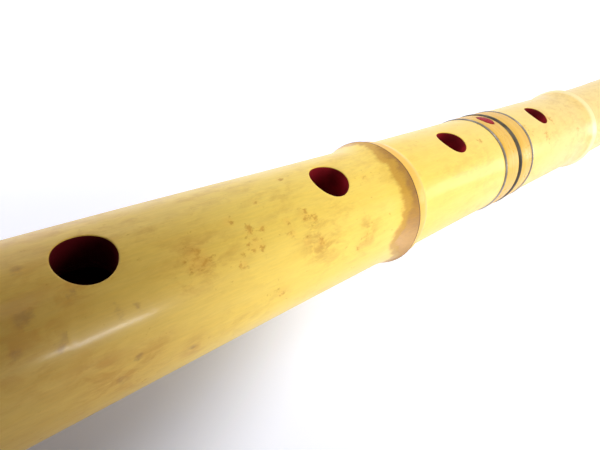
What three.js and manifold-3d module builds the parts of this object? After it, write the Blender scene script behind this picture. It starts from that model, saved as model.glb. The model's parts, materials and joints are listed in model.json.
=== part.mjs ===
// A bamboo end-blown flute (shakuhachi) in two halves, joined by a tenon at the middle.
// The flute lies along +X from its root end to its mouth, finger holes up, thumb hole down.
// Lengths are in millimetres. Until the last step x is counted from the root face and z from
// the flute's axis; the finished group then stands with the middle of its base at the origin.

import * as THREE from 'three';
import Module from 'manifold-3d';
import { mergeVertices } from 'three/addons/utils/BufferGeometryUtils.js';

const wasm = await Module();
wasm.setup();

// Whole flute
const flute_length = 545;
const round_sides = 32;
const hole_sides = 20;
const cut_overrun = 2;
const seat_gap = 0.3;

// Bamboo: the radius of the plain culm, the swelling of its root end and of its mouth
const culm_radius = 16.2;
const root_swell = 8.5;
const root_swell_length = 100;
const root_swell_power = 1.6;
const root_edge_round = 3;
const mouth_swell = 0.8;
const mouth_swell_length = 40;
const mouth_edge_round = 1.4;

// Bends of the bamboo: the root end curves up, and the mouth half is slightly bowed
const root_bend_length = 103;
const root_bend_step = 26;
const mouth_bow = 2.6;
const mouth_bow_length = 195;
const mouth_bow_step = 39;

// Bamboo nodes, as shares of the flute's length from the root face
const root_node_place_shares = [0.018, 0.055, 0.103, 0.169];
const culm_node_place_shares = [0.362, 0.6165, 0.987];
const root_node_height = 1.2;
const culm_node_height = 1.5;
const culm_node_root_side = 9;
const culm_node_mouth_side = 6;
const root_node_side = 5;
// A node rises slowly to the thin scar of its sheath, then falls in a smooth collar
const node_rise_shares = [[1, 0], [0.55, 0.2], [0.1, 0.72], [0, 1]];
const node_fall_shares = [[0.12, 0.7], [0.55, 0.5], [1, 0]];

// Stubs of the cut rootlets: a ring of them on the mouth side of each of the first root nodes
const root_stub_counts = [12, 10, 8];
const root_stub_radius = 1.8;
const root_stub_height = 0.7;
const root_stub_sink = 1.5;
const root_stub_sides = 6;
const root_stub_offset = 3.6;

// Bore, widest at the mouth, narrowest at the throat, opening again to the root
const mouth_bore_radius = 10;
const throat_bore_radius = 8.3;
const root_bore_radius = 9.3;
const throat_place_share = 0.2;
const lining_wall = 1;
const lining_setback = 0.6;

// Finger holes, as shares of the flute's length from the root face
const finger_hole_radius = 5;
const finger_hole_place_shares = [0.22, 0.32, 0.418, 0.532];
const thumb_hole_place_share = 0.592;

// Middle joint
const seam_place_share = 0.478;
const joint_hole_wall = 2.2;
const tenon_wall = 1.6;
const tenon_chamfer = 1;
const tenon_clearance = 0.2;
const socket_floor_room = 0.5;
const socket_lining_wall = 1;

// Rings and bindings of the joint, from the seam outwards
const seam_ring_width = 0.9;
const seam_ring_height = 0.5;
const seam_ring_wall = 2.4;
const wire_width = 0.9;
const wire_height = 0.3;
const binding_wall = 1.4;
const binding_height = 0.3;
const binding_crown = 0.15;
const binding_edge = 0.3;
const lower_binding_length = 8.5;
const upper_binding_length = 7.8;

// Red lacquered oval let into the root half's binding
const seal_length = 5;
const seal_width = 6.6;
const seal_depth = 0.7;
const seal_height = 0.12;
const seal_turn_degrees = 15;
const seal_place_share = 0.54;

// Mouth: the oblique cut that makes the blowing edge, its insert, and the chin side
const blowing_cut_angle_degrees = 30;
const blowing_edge_drop = 0.6;
const insert_edge_width = 15;
const insert_tip_width = 7;
const insert_reach = 9.5;
const insert_depth = 3.2;
const chin_cut_depth = 4;
const chin_cut_length = 6;

// Finishes
const bamboo = { color: 0xcfa552, roughness: 0.38, metalness: 0 };
const lacquer = { color: 0x6e1512, roughness: 0.22, metalness: 0 };
const hard_black = { color: 0x17120f, roughness: 0.25, metalness: 0 };
const amber = { color: 0xc9822b, roughness: 0.3, metalness: 0 };
const silver = { color: 0x9b968c, roughness: 0.35, metalness: 1 };
const seal_red = { color: 0x9c1d14, roughness: 0.3, metalness: 0 };

// Places worked out from the sizes above
const seam_x = seam_place_share * flute_length;
const throat_x = throat_place_share * flute_length;
const lower_end_x = seam_x - seat_gap / 2;
const upper_end_x = seam_x + seat_gap / 2;
const binding_radius = culm_radius + binding_height;
const binding_inner_radius = binding_radius - binding_wall;
const seat_radius = binding_inner_radius - seat_gap;
const ring_radius = culm_radius + seam_ring_height;
const ring_inner_radius = ring_radius - seam_ring_wall;
const spigot_radius = ring_inner_radius - seat_gap;
const wire_radius = culm_radius + wire_height;
const tenon_radius = bore_radius_at(seam_x) + tenon_wall;
const socket_radius = tenon_radius + tenon_clearance;
const socket_lining_radius = socket_radius + socket_lining_wall;
// The tenon reaches from hole to hole, and leaves a wall of bamboo beside each
const [, , third_hole_x, fourth_hole_x] = finger_hole_place_shares.map((share) => share * flute_length);
const socket_floor_x = third_hole_x + finger_hole_radius + joint_hole_wall;
const tenon_tip_x = socket_floor_x + socket_floor_room;
const tenon_end_x = fourth_hole_x - finger_hole_radius - joint_hole_wall;
const seal_x = seam_x - seam_ring_width - lower_binding_length * (1 - seal_place_share);

const nodes = [
  ...root_node_place_shares.map((share) => ({
    x: share * flute_length,
    height: root_node_height,
    root_side: root_node_side,
    mouth_side: root_node_side,
  })),
  ...culm_node_place_shares.map((share) => ({
    x: share * flute_length,
    height: culm_node_height,
    root_side: culm_node_root_side,
    mouth_side: culm_node_mouth_side,
  })),
];

// The root end rises as far as lets its first node and the mouth's node rest on one level
const root_rest_x = nodes[0].x;
const mouth_rest_x = nodes[nodes.length - 1].x;
const root_rest_share = 1 - root_rest_x / root_bend_length;
const root_rise = (culm_radius_at(root_rest_x) - culm_radius_at(mouth_rest_x)) / root_rest_share ** 2;

// Outline of the bamboo

// Straight line between neighbouring points of a table of [place, value] pairs
function between(table, place) {
  if (place <= table[0][0]) return table[0][1];
  for (let i = 1; i < table.length; i += 1) {
    const [start, start_value] = table[i - 1];
    const [end, end_value] = table[i];
    if (place <= end) return start_value + (end_value - start_value) * (place - start) / (end - start);
  }
  return table[table.length - 1][1];
}

// Outline points of one node, from its root side to its mouth side, as [x, height]
function node_points(node) {
  const rise = node_rise_shares.map(([along, up]) => [node.x - along * node.root_side, up * node.height]);
  const fall = node_fall_shares.map(([along, up]) => [node.x + along * node.mouth_side, up * node.height]);
  return [...rise, ...fall];
}

function node_height_at(x) {
  let height = 0;
  for (const node of nodes) {
    const inside = x > node.x - node.root_side && x < node.x + node.mouth_side;
    if (inside) height = Math.max(height, between(node_points(node), x));
  }
  return height;
}

function culm_radius_at(x) {
  const root_share = Math.max(0, 1 - x / root_swell_length);
  const mouth_share = Math.max(0, 1 - (flute_length - x) / mouth_swell_length);
  const swell = root_swell * root_share ** root_swell_power + mouth_swell * mouth_share ** 2;
  return culm_radius + swell + node_height_at(x);
}

function bore_radius_at(x) {
  const bore = [[0, root_bore_radius], [throat_x, throat_bore_radius], [flute_length, mouth_bore_radius]];
  return between(bore, x);
}

// Height of the bent axis over the straight one
function rise_at(x) {
  const root_share = Math.max(0, 1 - x / root_bend_length);
  const bow_share = Math.max(0, 1 - (flute_length - x) / mouth_bow_length);
  return root_rise * root_share ** 2 + mouth_bow * Math.sin(Math.PI * Math.min(1, bow_share)) ** 2;
}

// Places along the flute at which an outline gets a point: closely in the bends, and on each node
function stations(from, to, with_nodes) {
  const places = [from, to, throat_x];
  for (let x = 0; x < root_bend_length + root_bend_step; x += root_bend_step) places.push(x);
  for (let x = flute_length; x > flute_length - mouth_bow_length; x -= mouth_bow_step) places.push(x);
  if (with_nodes) nodes.forEach((node) => node_points(node).forEach(([x]) => places.push(x)));
  const inside = places.filter((x) => x >= from && x <= to).sort((a, b) => a - b);
  return inside.filter((x, i) => i === 0 || x - inside[i - 1] > binding_edge || x === to);
}

// Solids

function to_solid(geometry) {
  const bare = geometry.clone();
  bare.deleteAttribute('normal');
  bare.deleteAttribute('uv');
  const merged = mergeVertices(bare);
  const corners = merged.index.array;
  const triangles = [];
  for (let i = 0; i < corners.length; i += 3) {
    const [a, b, c] = [corners[i], corners[i + 1], corners[i + 2]];
    if (a !== b && b !== c && c !== a) triangles.push(a, b, c);
  }
  const mesh = new wasm.Mesh({
    numProp: 3,
    vertProperties: new Float32Array(merged.attributes.position.array),
    triVerts: new Uint32Array(triangles),
  });
  return new wasm.Manifold(mesh);
}

// A closed outline of [x, radius] points turned round the X axis, then bent as the bamboo is.
// A flat side faces down, so that the flute lies without rolling.
function turned(outline) {
  const points = outline.map(([x, radius]) => new THREE.Vector2(radius, x));
  const geometry = new THREE.LatheGeometry(points, round_sides, Math.PI / round_sides);
  geometry.rotateZ(-Math.PI / 2);
  const position = geometry.attributes.position;
  for (let i = 0; i < position.count; i += 1) {
    position.setZ(i, position.getZ(i) + rise_at(position.getX(i)));
  }
  return to_solid(geometry);
}

// A rod along the bore: its radius at x is the bore's plus a margin
function bore_rod(from, to, margin) {
  const wall = stations(from, to, false).map((x) => [x, bore_radius_at(x) + margin]);
  return turned([[from, 0], ...wall, [to, 0]]);
}

// A straight rod about the axis
function rod(from, to, radius) {
  return turned([[from, 0], [from, radius], [to, radius], [to, 0]]);
}

// A ring with its outer edges broken by a small chamfer
function ring(from, to, inner, outer, edge) {
  return turned([
    [from, inner],
    [from, outer - edge],
    [from + edge, outer],
    [to - edge, outer],
    [to, outer - edge],
    [to, inner],
    [from, inner],
  ]);
}

// A binding: a ring with a crowned back
function crowned_ring(from, to) {
  const quarter = (to - from) / 4;
  return turned([
    [from, binding_inner_radius],
    [from, binding_radius - binding_crown - binding_edge],
    [from + binding_edge, binding_radius - binding_crown],
    [from + quarter, binding_radius - binding_crown / 4],
    [from + 2 * quarter, binding_radius],
    [from + 3 * quarter, binding_radius - binding_crown / 4],
    [to - binding_edge, binding_radius - binding_crown],
    [to, binding_radius - binding_crown - binding_edge],
    [to, binding_inner_radius],
    [from, binding_inner_radius],
  ]);
}

// A plain tube, for cuts
function tube(from, to, inner, outer) {
  return turned([[from, inner], [from, outer], [to, outer], [to, inner], [from, inner]]);
}

// A finger hole's cutter: a round rod from the axis outwards, up or down
function hole_cutter(x, upwards) {
  const reach = culm_radius + root_swell;
  const geometry = new THREE.CylinderGeometry(finger_hole_radius, finger_hole_radius, reach, hole_sides);
  geometry.rotateX(Math.PI / 2);
  geometry.translate(x, 0, (upwards ? 1 : -1) * reach / 2);
  return to_solid(geometry);
}

function cut_holes(solid, from, to) {
  let result = solid;
  for (const share of finger_hole_place_shares) {
    const x = share * flute_length;
    if (x > from && x < to) result = result.subtract(hole_cutter(x, true));
  }
  const thumb_x = thumb_hole_place_share * flute_length;
  if (thumb_x > from && thumb_x < to) result = result.subtract(hole_cutter(thumb_x, false));
  return result;
}

// A flat outline of [x, z] points made a slab across the whole flute
function slab_across(outline) {
  const width = (culm_radius + root_swell + cut_overrun) * 2;
  const shape = new THREE.Shape(outline.map(([x, z]) => new THREE.Vector2(x, z)));
  const geometry = new THREE.ExtrudeGeometry(shape, { depth: width, bevelEnabled: false });
  geometry.rotateX(Math.PI / 2);
  geometry.translate(0, width / 2, 0);
  return to_solid(geometry);
}

// Every ring of stubs straddles the underside, so that the root end lies on two of them
function root_stubs() {
  const height = root_stub_height + root_stub_sink;
  const stubs = root_stub_counts.flatMap((count, ring_number) => {
    const x = nodes[ring_number].x + root_stub_offset;
    const middle_radius = culm_radius_at(x) + root_stub_height - height / 2;
    return Array.from({ length: count }, (_, i) => {
      const turn = Math.PI + (i + 0.5) * 2 * Math.PI / count;
      const geometry = new THREE.CylinderGeometry(root_stub_radius, root_stub_radius, height, root_stub_sides);
      geometry.rotateX(Math.PI / 2);
      geometry.translate(0, 0, middle_radius);
      geometry.rotateX(-turn);
      geometry.translate(x, 0, rise_at(x));
      return to_solid(geometry);
    });
  });
  return stubs.reduce((all, stub) => all.add(stub));
}

// Bamboo of the root half: socket for the tenon, seats for its ring, wire and binding
function lower_culm() {
  const edge = root_edge_round;
  const arc_share = 1 - Math.SQRT1_2;
  const root_radius = culm_radius_at(edge);
  const outline = [
    [0, 0],
    [0, root_radius - edge],
    [arc_share * edge, root_radius - arc_share * edge],
    ...stations(edge, lower_end_x, true).map((x) => [x, culm_radius_at(x)]),
    [lower_end_x, 0],
  ];
  const outside = culm_radius + cut_overrun;
  const end_x = lower_end_x + cut_overrun;
  const ring_seat_x = lower_end_x - seam_ring_width - seat_gap;
  const shoulder_x = ring_seat_x - lower_binding_length - wire_width - 2 * seat_gap;
  const solid = turned(outline)
    .add(root_stubs())
    .subtract(bore_rod(-cut_overrun, socket_floor_x + seat_gap, lining_wall + seat_gap))
    .subtract(rod(socket_floor_x - seat_gap, end_x, socket_lining_radius + seat_gap))
    .subtract(tube(shoulder_x, end_x, seat_radius, outside))
    .subtract(tube(ring_seat_x, end_x, spigot_radius, outside));
  return cut_holes(solid, 0, seam_x);
}

// Bamboo of the mouth half: seat for the glued end of the tenon, seats for ring, wire and binding,
// and at its far end the blowing cut and the rounded chin side
function upper_culm() {
  const edge = mouth_edge_round;
  const arc_share = 1 - Math.SQRT1_2;
  const mouth_radius = culm_radius_at(flute_length - edge);
  const outline = [
    [upper_end_x, 0],
    ...stations(upper_end_x, flute_length - edge, true).map((x) => [x, culm_radius_at(x)]),
    [flute_length - arc_share * edge, mouth_radius - arc_share * edge],
    [flute_length, mouth_radius - edge],
    [flute_length, 0],
  ];
  const outside = culm_radius + cut_overrun;
  const end_x = upper_end_x - cut_overrun;
  const ring_seat_x = upper_end_x + seam_ring_width + seat_gap;
  const shoulder_x = ring_seat_x + upper_binding_length + wire_width + 2 * seat_gap;
  const solid = turned(outline)
    .subtract(bore_rod(tenon_end_x, flute_length + cut_overrun, lining_wall + seat_gap))
    .subtract(rod(end_x, tenon_end_x + seat_gap, tenon_radius + seat_gap))
    .subtract(tube(end_x, shoulder_x, seat_radius, outside))
    .subtract(tube(end_x, ring_seat_x, spigot_radius, outside))
    .subtract(blowing_cutter())
    .subtract(chin_cutter())
    .subtract(insert_block(seat_gap));
  return cut_holes(solid, seam_x, flute_length);
}

// The oblique cut slopes up from just under the top of the bore towards the root
function blowing_cutter() {
  const slope = Math.tan(THREE.MathUtils.degToRad(blowing_cut_angle_degrees));
  const edge_z = mouth_bore_radius - blowing_edge_drop;
  const reach = (culm_radius + mouth_swell + culm_node_height + cut_overrun - edge_z) / slope;
  return slab_across([
    [flute_length - reach, edge_z + reach * slope],
    [flute_length + cut_overrun, edge_z - cut_overrun * slope],
    [flute_length + cut_overrun, edge_z + reach * slope],
  ]);
}

// The player's chin rests against this bevel, below the bore
function chin_cutter() {
  const rim_z = -culm_radius_at(flute_length);
  return slab_across([
    [flute_length - chin_cut_length, rim_z - cut_overrun],
    [flute_length - chin_cut_length, rim_z],
    [flute_length, rim_z + chin_cut_depth],
    [flute_length + cut_overrun, rim_z + chin_cut_depth],
    [flute_length + cut_overrun, rim_z - cut_overrun],
  ]);
}

// The insert's block: a wedge-shaped plan in the plane of the blowing cut, sunk square to it.
// Its foot runs past the mouth's end face. A margin makes its seat.
function insert_block(margin) {
  const edge_z = mouth_bore_radius - blowing_edge_drop;
  const narrowing = (insert_edge_width - insert_tip_width) / 2 / insert_reach;
  const half_width_at = (along) => insert_edge_width / 2 - along * narrowing + margin * (1 + narrowing);
  const foot = -insert_depth;
  const tip = insert_reach + margin;
  const plan = new THREE.Shape([
    new THREE.Vector2(foot, -half_width_at(foot)),
    new THREE.Vector2(tip, -half_width_at(tip)),
    new THREE.Vector2(tip, half_width_at(tip)),
    new THREE.Vector2(foot, half_width_at(foot)),
  ]);
  const proud = margin > 0 ? cut_overrun : 0;
  const depth = insert_depth + margin + proud;
  const geometry = new THREE.ExtrudeGeometry(plan, { depth, bevelEnabled: false });
  geometry.translate(0, 0, -insert_depth - margin);
  geometry.rotateZ(Math.PI);
  geometry.rotateY(THREE.MathUtils.degToRad(blowing_cut_angle_degrees));
  geometry.translate(flute_length, 0, edge_z);
  return to_solid(geometry);
}

function blowing_edge_insert() {
  const end_room = slab_across([
    [flute_length, 0],
    [flute_length + insert_depth * 2, 0],
    [flute_length + insert_depth * 2, culm_radius],
    [flute_length, culm_radius],
  ]);
  return insert_block(0)
    .subtract(bore_rod(flute_length - insert_reach * 2, flute_length + cut_overrun, 0))
    .subtract(end_room);
}

// Linings of the bore

function lower_bore_lining() {
  const end_x = socket_floor_x - seat_gap;
  const shell = bore_rod(lining_setback, end_x, lining_wall)
    .subtract(bore_rod(lining_setback - cut_overrun, end_x + cut_overrun, 0));
  return cut_holes(shell, 0, seam_x);
}

function upper_bore_lining() {
  const start_x = tenon_end_x + 2 * seat_gap;
  const end_x = flute_length - lining_setback;
  const shell = bore_rod(start_x, end_x, lining_wall)
    .subtract(bore_rod(start_x - cut_overrun, end_x + cut_overrun, 0))
    .subtract(blowing_cutter())
    .subtract(insert_block(seat_gap));
  return cut_holes(shell, seam_x, flute_length);
}

// Middle joint

function tenon_sleeve() {
  const body = turned([
    [tenon_tip_x, 0],
    [tenon_tip_x, tenon_radius - tenon_chamfer],
    [tenon_tip_x + tenon_chamfer, tenon_radius],
    [tenon_end_x, tenon_radius],
    [tenon_end_x, 0],
  ]);
  return body.subtract(bore_rod(tenon_tip_x - cut_overrun, tenon_end_x + cut_overrun, 0));
}

function socket_lining() {
  return tube(socket_floor_x, lower_end_x - seat_gap, socket_radius, socket_lining_radius);
}

function lower_seam_ring() {
  const start_x = lower_end_x - seam_ring_width;
  return ring(start_x, lower_end_x, ring_inner_radius, ring_radius, seam_ring_height / 2);
}

function upper_seam_ring() {
  const end_x = upper_end_x + seam_ring_width;
  return ring(upper_end_x, end_x, ring_inner_radius, ring_radius, seam_ring_height / 2);
}

function lower_binding() {
  const end_x = lower_end_x - seam_ring_width - seat_gap;
  return crowned_ring(end_x - lower_binding_length, end_x).subtract(seal_block(seat_gap));
}

function upper_binding() {
  const start_x = upper_end_x + seam_ring_width + seat_gap;
  return crowned_ring(start_x, start_x + upper_binding_length);
}

function lower_wire_ring() {
  const end_x = lower_end_x - seam_ring_width - lower_binding_length - 2 * seat_gap;
  return ring(end_x - wire_width, end_x, binding_inner_radius, wire_radius, wire_height);
}

function upper_wire_ring() {
  const start_x = upper_end_x + seam_ring_width + upper_binding_length + 2 * seat_gap;
  return ring(start_x, start_x + wire_width, binding_inner_radius, wire_radius, wire_height);
}

// The seal is an oval button whose top follows the binding; a margin makes its seat
function seal_block(margin) {
  const oval = new THREE.Shape();
  oval.absellipse(0, 0, seal_length / 2 + margin, seal_width / 2 + margin, 0, Math.PI * 2);
  const geometry = new THREE.ExtrudeGeometry(oval, {
    depth: binding_radius,
    bevelEnabled: false,
    curveSegments: hole_sides / 2,
  });
  geometry.rotateX(-THREE.MathUtils.degToRad(seal_turn_degrees));
  geometry.translate(seal_x, 0, 0);
  const floor_radius = binding_radius - seal_depth - margin;
  const top_radius = binding_radius + (margin > 0 ? cut_overrun : seal_height);
  const shell = tube(seal_x - seal_length, seal_x + seal_length, floor_radius, top_radius);
  return to_solid(geometry).intersect(shell);
}

function seal_inlay() {
  return seal_block(0);
}

// The object

function piece(name, solid, finish) {
  const { vertProperties, triVerts } = solid.getMesh();
  const geometry = new THREE.BufferGeometry();
  geometry.setAttribute('position', new THREE.Float32BufferAttribute(vertProperties, 3));
  geometry.setIndex(new THREE.Uint32BufferAttribute(triVerts, 1));
  geometry.computeVertexNormals();
  const mesh = new THREE.Mesh(geometry, new THREE.MeshStandardMaterial(finish));
  mesh.name = name;
  return mesh;
}

const lower_half = new THREE.Group();
lower_half.add(
  piece('lower_culm', lower_culm(), bamboo),
  piece('lower_bore_lining', lower_bore_lining(), lacquer),
  piece('socket_lining', socket_lining(), hard_black),
  piece('lower_seam_ring', lower_seam_ring(), silver),
  piece('lower_binding', lower_binding(), amber),
  piece('lower_wire_ring', lower_wire_ring(), silver),
  piece('seal_inlay', seal_inlay(), seal_red),
);

const upper_half = new THREE.Group();
upper_half.add(
  piece('upper_culm', upper_culm(), bamboo),
  piece('upper_bore_lining', upper_bore_lining(), lacquer),
  piece('tenon_sleeve', tenon_sleeve(), hard_black),
  piece('upper_seam_ring', upper_seam_ring(), silver),
  piece('upper_binding', upper_binding(), amber),
  piece('upper_wire_ring', upper_wire_ring(), silver),
  piece('blowing_edge_insert', blowing_edge_insert(), hard_black),
);

const shakuhachi = new THREE.Group();
shakuhachi.add(lower_half, upper_half);

const box = new THREE.Box3().setFromObject(shakuhachi, true);
const middle = box.getCenter(new THREE.Vector3());
shakuhachi.position.set(-middle.x, -middle.y, -box.min.z);

export default shakuhachi;
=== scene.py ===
"""A bamboo end-blown flute (shakuhachi) in two halves, with its middle joint and a plain studio.

Places along the flute are counted from its root face, and turns round it from the side of the
finger holes. Everything is in metres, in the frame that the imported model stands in.
"""

import json
import math

import bmesh
import bpy
import numpy as np
from bpy.props import FloatProperty, FloatVectorProperty, IntProperty, PointerProperty
from bpy.types import Operator, Panel, PropertyGroup
from mathutils import Matrix, Vector


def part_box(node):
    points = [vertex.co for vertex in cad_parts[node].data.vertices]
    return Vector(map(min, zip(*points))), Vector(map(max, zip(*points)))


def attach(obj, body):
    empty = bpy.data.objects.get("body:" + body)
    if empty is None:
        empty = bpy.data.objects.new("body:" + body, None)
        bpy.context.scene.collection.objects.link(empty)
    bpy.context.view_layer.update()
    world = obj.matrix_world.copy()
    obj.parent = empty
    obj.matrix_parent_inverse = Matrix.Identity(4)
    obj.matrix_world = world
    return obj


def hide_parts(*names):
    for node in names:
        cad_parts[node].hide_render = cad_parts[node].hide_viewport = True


bl_info = {
    "name": "Shakuhachi",
    "version": (1, 0, 0),
    "blender": (4, 5, 0),
    "location": "3D View > Sidebar > Flute",
    "description": "Builds a bamboo flute in two halves, its joint, its finishes and a studio",
    "category": "Add Mesh",
}

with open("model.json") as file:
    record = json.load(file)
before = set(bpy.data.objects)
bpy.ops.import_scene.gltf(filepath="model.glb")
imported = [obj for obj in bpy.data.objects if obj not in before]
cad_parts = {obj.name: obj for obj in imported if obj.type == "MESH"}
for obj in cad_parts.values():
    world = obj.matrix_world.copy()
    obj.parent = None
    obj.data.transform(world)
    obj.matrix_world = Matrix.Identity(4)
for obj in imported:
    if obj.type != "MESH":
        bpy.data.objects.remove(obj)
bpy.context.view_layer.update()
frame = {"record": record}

MM = 0.001
TURN = 2 * math.pi

# Points closer than this are one point, and a hole's window is found with this slack. Places are
# rounded to so many digits of a metre, and the mouth's end is found in so many halvings.
SAME_POINT = 0.0005 * MM
WINDOW_SLACK = 0.01 * MM
ROUND_DIGITS = 8
HALVINGS = 40

# Columns round a wall, a ring, the red oval and a cut rootlet, and the columns that the patch of a
# finger hole and of the oval's seat takes to each side
COLUMNS = 144
RING_COLUMNS = 128
OVAL_COLUMNS = 64
STUB_COLUMNS = 16
HOLE_SPAN = COLUMNS // 8
OVAL_SPAN = COLUMNS // 12

# Rows in the patch of a hole and of the oval's seat, and how far apart a mesh's other rows lie.
# They lie closer where the mouth's cuts end the walls.
HOLE_WINDOW_CELLS = 12
OVAL_WINDOW_CELLS = 38
ROOT_SKIN_STEP = 0.9 * MM
MOUTH_SKIN_STEP = 2 * MM
BORE_STEP = 6 * MM
LINING_STEP = 7 * MM
BINDING_STEP = 0.16 * MM
CUT_STEP, CUT_REACH = 1.2 * MM, 26 * MM
LINING_CUT_STEP, LINING_CUT_REACH = 1.5 * MM, 12 * MM

# Small roundings, gaps and reliefs
LINING_HOLE_RIM = 0.02 * MM
CUT_RIM = 0.12 * MM
CUT_RIM_BELOW, CUT_RIM_ABOVE = 1 * MM, 2 * MM
INSERT_PROUD = 0.03 * MM
INSERT_EDGE = 0.06 * MM
RING_FALL = 0.42 * MM
RING_EDGE = 0.06 * MM
WIRE_EDGE_SHARE = 0.42
STRAND_WIDTH = 0.65 * MM
STRAND_HEIGHT = 0.02 * MM
OVAL_GAP = 0.05 * MM
OVAL_SEAT_RIM = 0.06 * MM
TENON_SOFT, TENON_BLEND = 0.2 * MM, 0.06 * MM

# The node that the photograph shows best, counted from 0 at the root. Its sheath scar is wide on one side
# and narrow on the other, and painted light makes it pale on the side turned towards -Y; each next node's
# is turned by one step. A node's marks reach no farther than its range.
SEEN_NODE = 4
SCAR_TURN_STEP = 1.1
SCAR_WIDE_TURN = math.radians(-74)
SCAR_WIDE_SPREAD = math.radians(17)
# Painted light: the turn and the spread round which the scar is painted pale
SCAR_PAINTED_LIGHT_TURN = math.radians(-80)
SCAR_PAINTED_LIGHT_SPREAD = math.radians(20)
SCAR_NARROW_TURN = math.radians(22)
NODE_RANGE = 30 * MM

# How the edges of a node's marks lie: how far the scar's edge wavers, coarsely and finely, and
# between which distances each mark starts or ends
SCAR_WAVER, SCAR_FINE_WAVER, SCAR_WAVER_MIDDLE = 5 * MM, 2.2 * MM, 3.6 * MM
FRINGE_EDGE = (-1 * MM, 1 * MM)
SCAR_EDGE = (1.8 * MM, 3.8 * MM)
COLLAR_EDGE = (4.6 * MM, 5.7 * MM)
# Edges of the pale ring on a smooth node's crest, which is a painted highlight
PAINTED_SHINE_BEFORE, PAINTED_SHINE_BEHIND = (1.8 * MM, 5.0 * MM), (0.6 * MM, 1.4 * MM)
CREST_BEFORE, CREST_BEHIND = (0.08 * MM, 0.26 * MM), (0.3 * MM, 0.65 * MM)

# Where finishes change along the flute, counted from the middle of its length: the skin's root tone, which
# holds painted shade as well as browner bamboo, how far its edge drifts, its mouth tone, its stains, and the
# painted shade of the lacquer's root part
ROOT_TONE_AND_SHADE = (-175 * MM, -108 * MM)
TONE_DRIFT = 30 * MM
MOUTH_TONE = (-70 * MM, 60 * MM)
STAIN_FADE = (-165 * MM, -85 * MM)
LACQUER_SHADE = (-150 * MM, -90 * MM)

# Cut rootlets: how many large ones stand in each ring, and for the large and two small kinds their
# share of the way round to the next large one, their stray along the flute, and their shares of the
# width and height. Then the rings of points on one rootlet, and the ranges of the random shares.
STUB_SEED = 11
STUB_COUNTS = (12, 10, 8)
STUB_KINDS = ((0.5, 0.5 * MM, 1.0, 1.0), (0.84, 2.2 * MM, 0.5, 0.4), (1.18, 2.2 * MM, 0.42, 0.35))
STUB_SHARES = np.array([1.0, 1.0, 0.97, 0.88, 0.7, 0.45, 0.2])
STUB_HEIGHTS = np.array([0.0, 0.62, 0.8, 0.93, 1.0, 1.02, 0.98])
STUB_STRAY_TURN = 0.04
STUB_WIDTHS = (0.78, 1.12)
STUB_RISES = (0.6, 1.15)
STUB_OVALS = (0.92, 1.25)
STUB_WOBBLE = 0.1

# Rings of points on the red oval, from its middle to its rim, and how high each lies in its dome.
# The last ring is its foot.
OVAL_SHARES = np.array([0.04, 0.2, 0.36, 0.52, 0.66, 0.78, 0.87, 0.93, 0.97, 0.99, 1.0, 1.0])
OVAL_DOME = np.array([1, 0.97, 0.9, 0.8, 0.68, 0.55, 0.4, 0.2, -0.1, -0.4, -1.0, 0])

# Studio: the lamps' places, the points that they face and their sizes, the floor, and the camera
FLUTE_MIDDLE = (-0.05, 0, 0.02)
SIDE_LAMP = {"place": (0.3, -0.9, 0.4), "target": FLUTE_MIDDLE, "size": (0.7, 0.8)}
FAR_LAMP = {"place": (-0.1, 0.9, 0.45), "target": FLUTE_MIDDLE, "size": (1.4, 0.5)}
TOP_LAMP = {"place": (-0.4, 0.1, 1.0), "target": FLUTE_MIDDLE, "size": (0.9, 0.3)}
GLINT_LAMP = {"place": (0.73, -0.43, 0.27), "target": FLUTE_MIDDLE, "size": (0.22, 0.22)}
STREAK_LAMP = {
    "place": (-0.136, -0.0765, 0.0685),
    "target": (-0.148, -0.0115, 0.0297),
    "size": (0.03, 0.002),
}
FLOOR_REACH = 3.0
SHADE_EDGE = (75 * MM, 105 * MM)
SHADE_BACK = (-4 * MM, 12 * MM)
GLOW_REACH = (0.35, 1.1)
PAPER_COLOUR = (0.625, 0.66, 0.81)
GLOW_COLOUR = (0.95, 0.955, 1.0)
SKY_WHITE = (1, 1, 1)
FLAG_COLOUR = (0.02, 0.02, 0.02)
SENSOR_WIDTH = 36
CLIP_START, CLIP_END = 5 * MM, 20

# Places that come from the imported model
ROOT_FACE_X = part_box("lower_culm")[0].x
MOUTH_FACE_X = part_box("upper_culm")[1].x
AXIS_HEIGHT = (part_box("lower_seam_ring")[0].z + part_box("lower_seam_ring")[1].z) / 2


def node_place(node, end):
    """Distance of a CAD node's root side (end 0) or mouth side (end 1) from the root face"""
    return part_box(node)[end].x - ROOT_FACE_X


def node_middle(node):
    """Distance of a CAD node's middle from the root face"""
    return (node_place(node, 0) + node_place(node, 1)) / 2


def node_radius(node):
    """Half the width of a round CAD node"""
    low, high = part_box(node)
    return (high.y - low.y) / 2


def opening_place(name):
    """Distance of the middle of an opening from the root face"""
    for opening in frame["record"]["physics"]["openings"]:
        if opening["name"] == name:
            low, high = opening["box_m"]
            return (low[0] + high[0]) / 2 - ROOT_FACE_X
    raise RuntimeError("the record has no opening named " + name)


FINGER_HOLE_PLACES = [opening_place("finger_hole_%d" % number) for number in (1, 2, 3, 4)]
THUMB_HOLE_PLACE = opening_place("thumb_hole")
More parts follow.
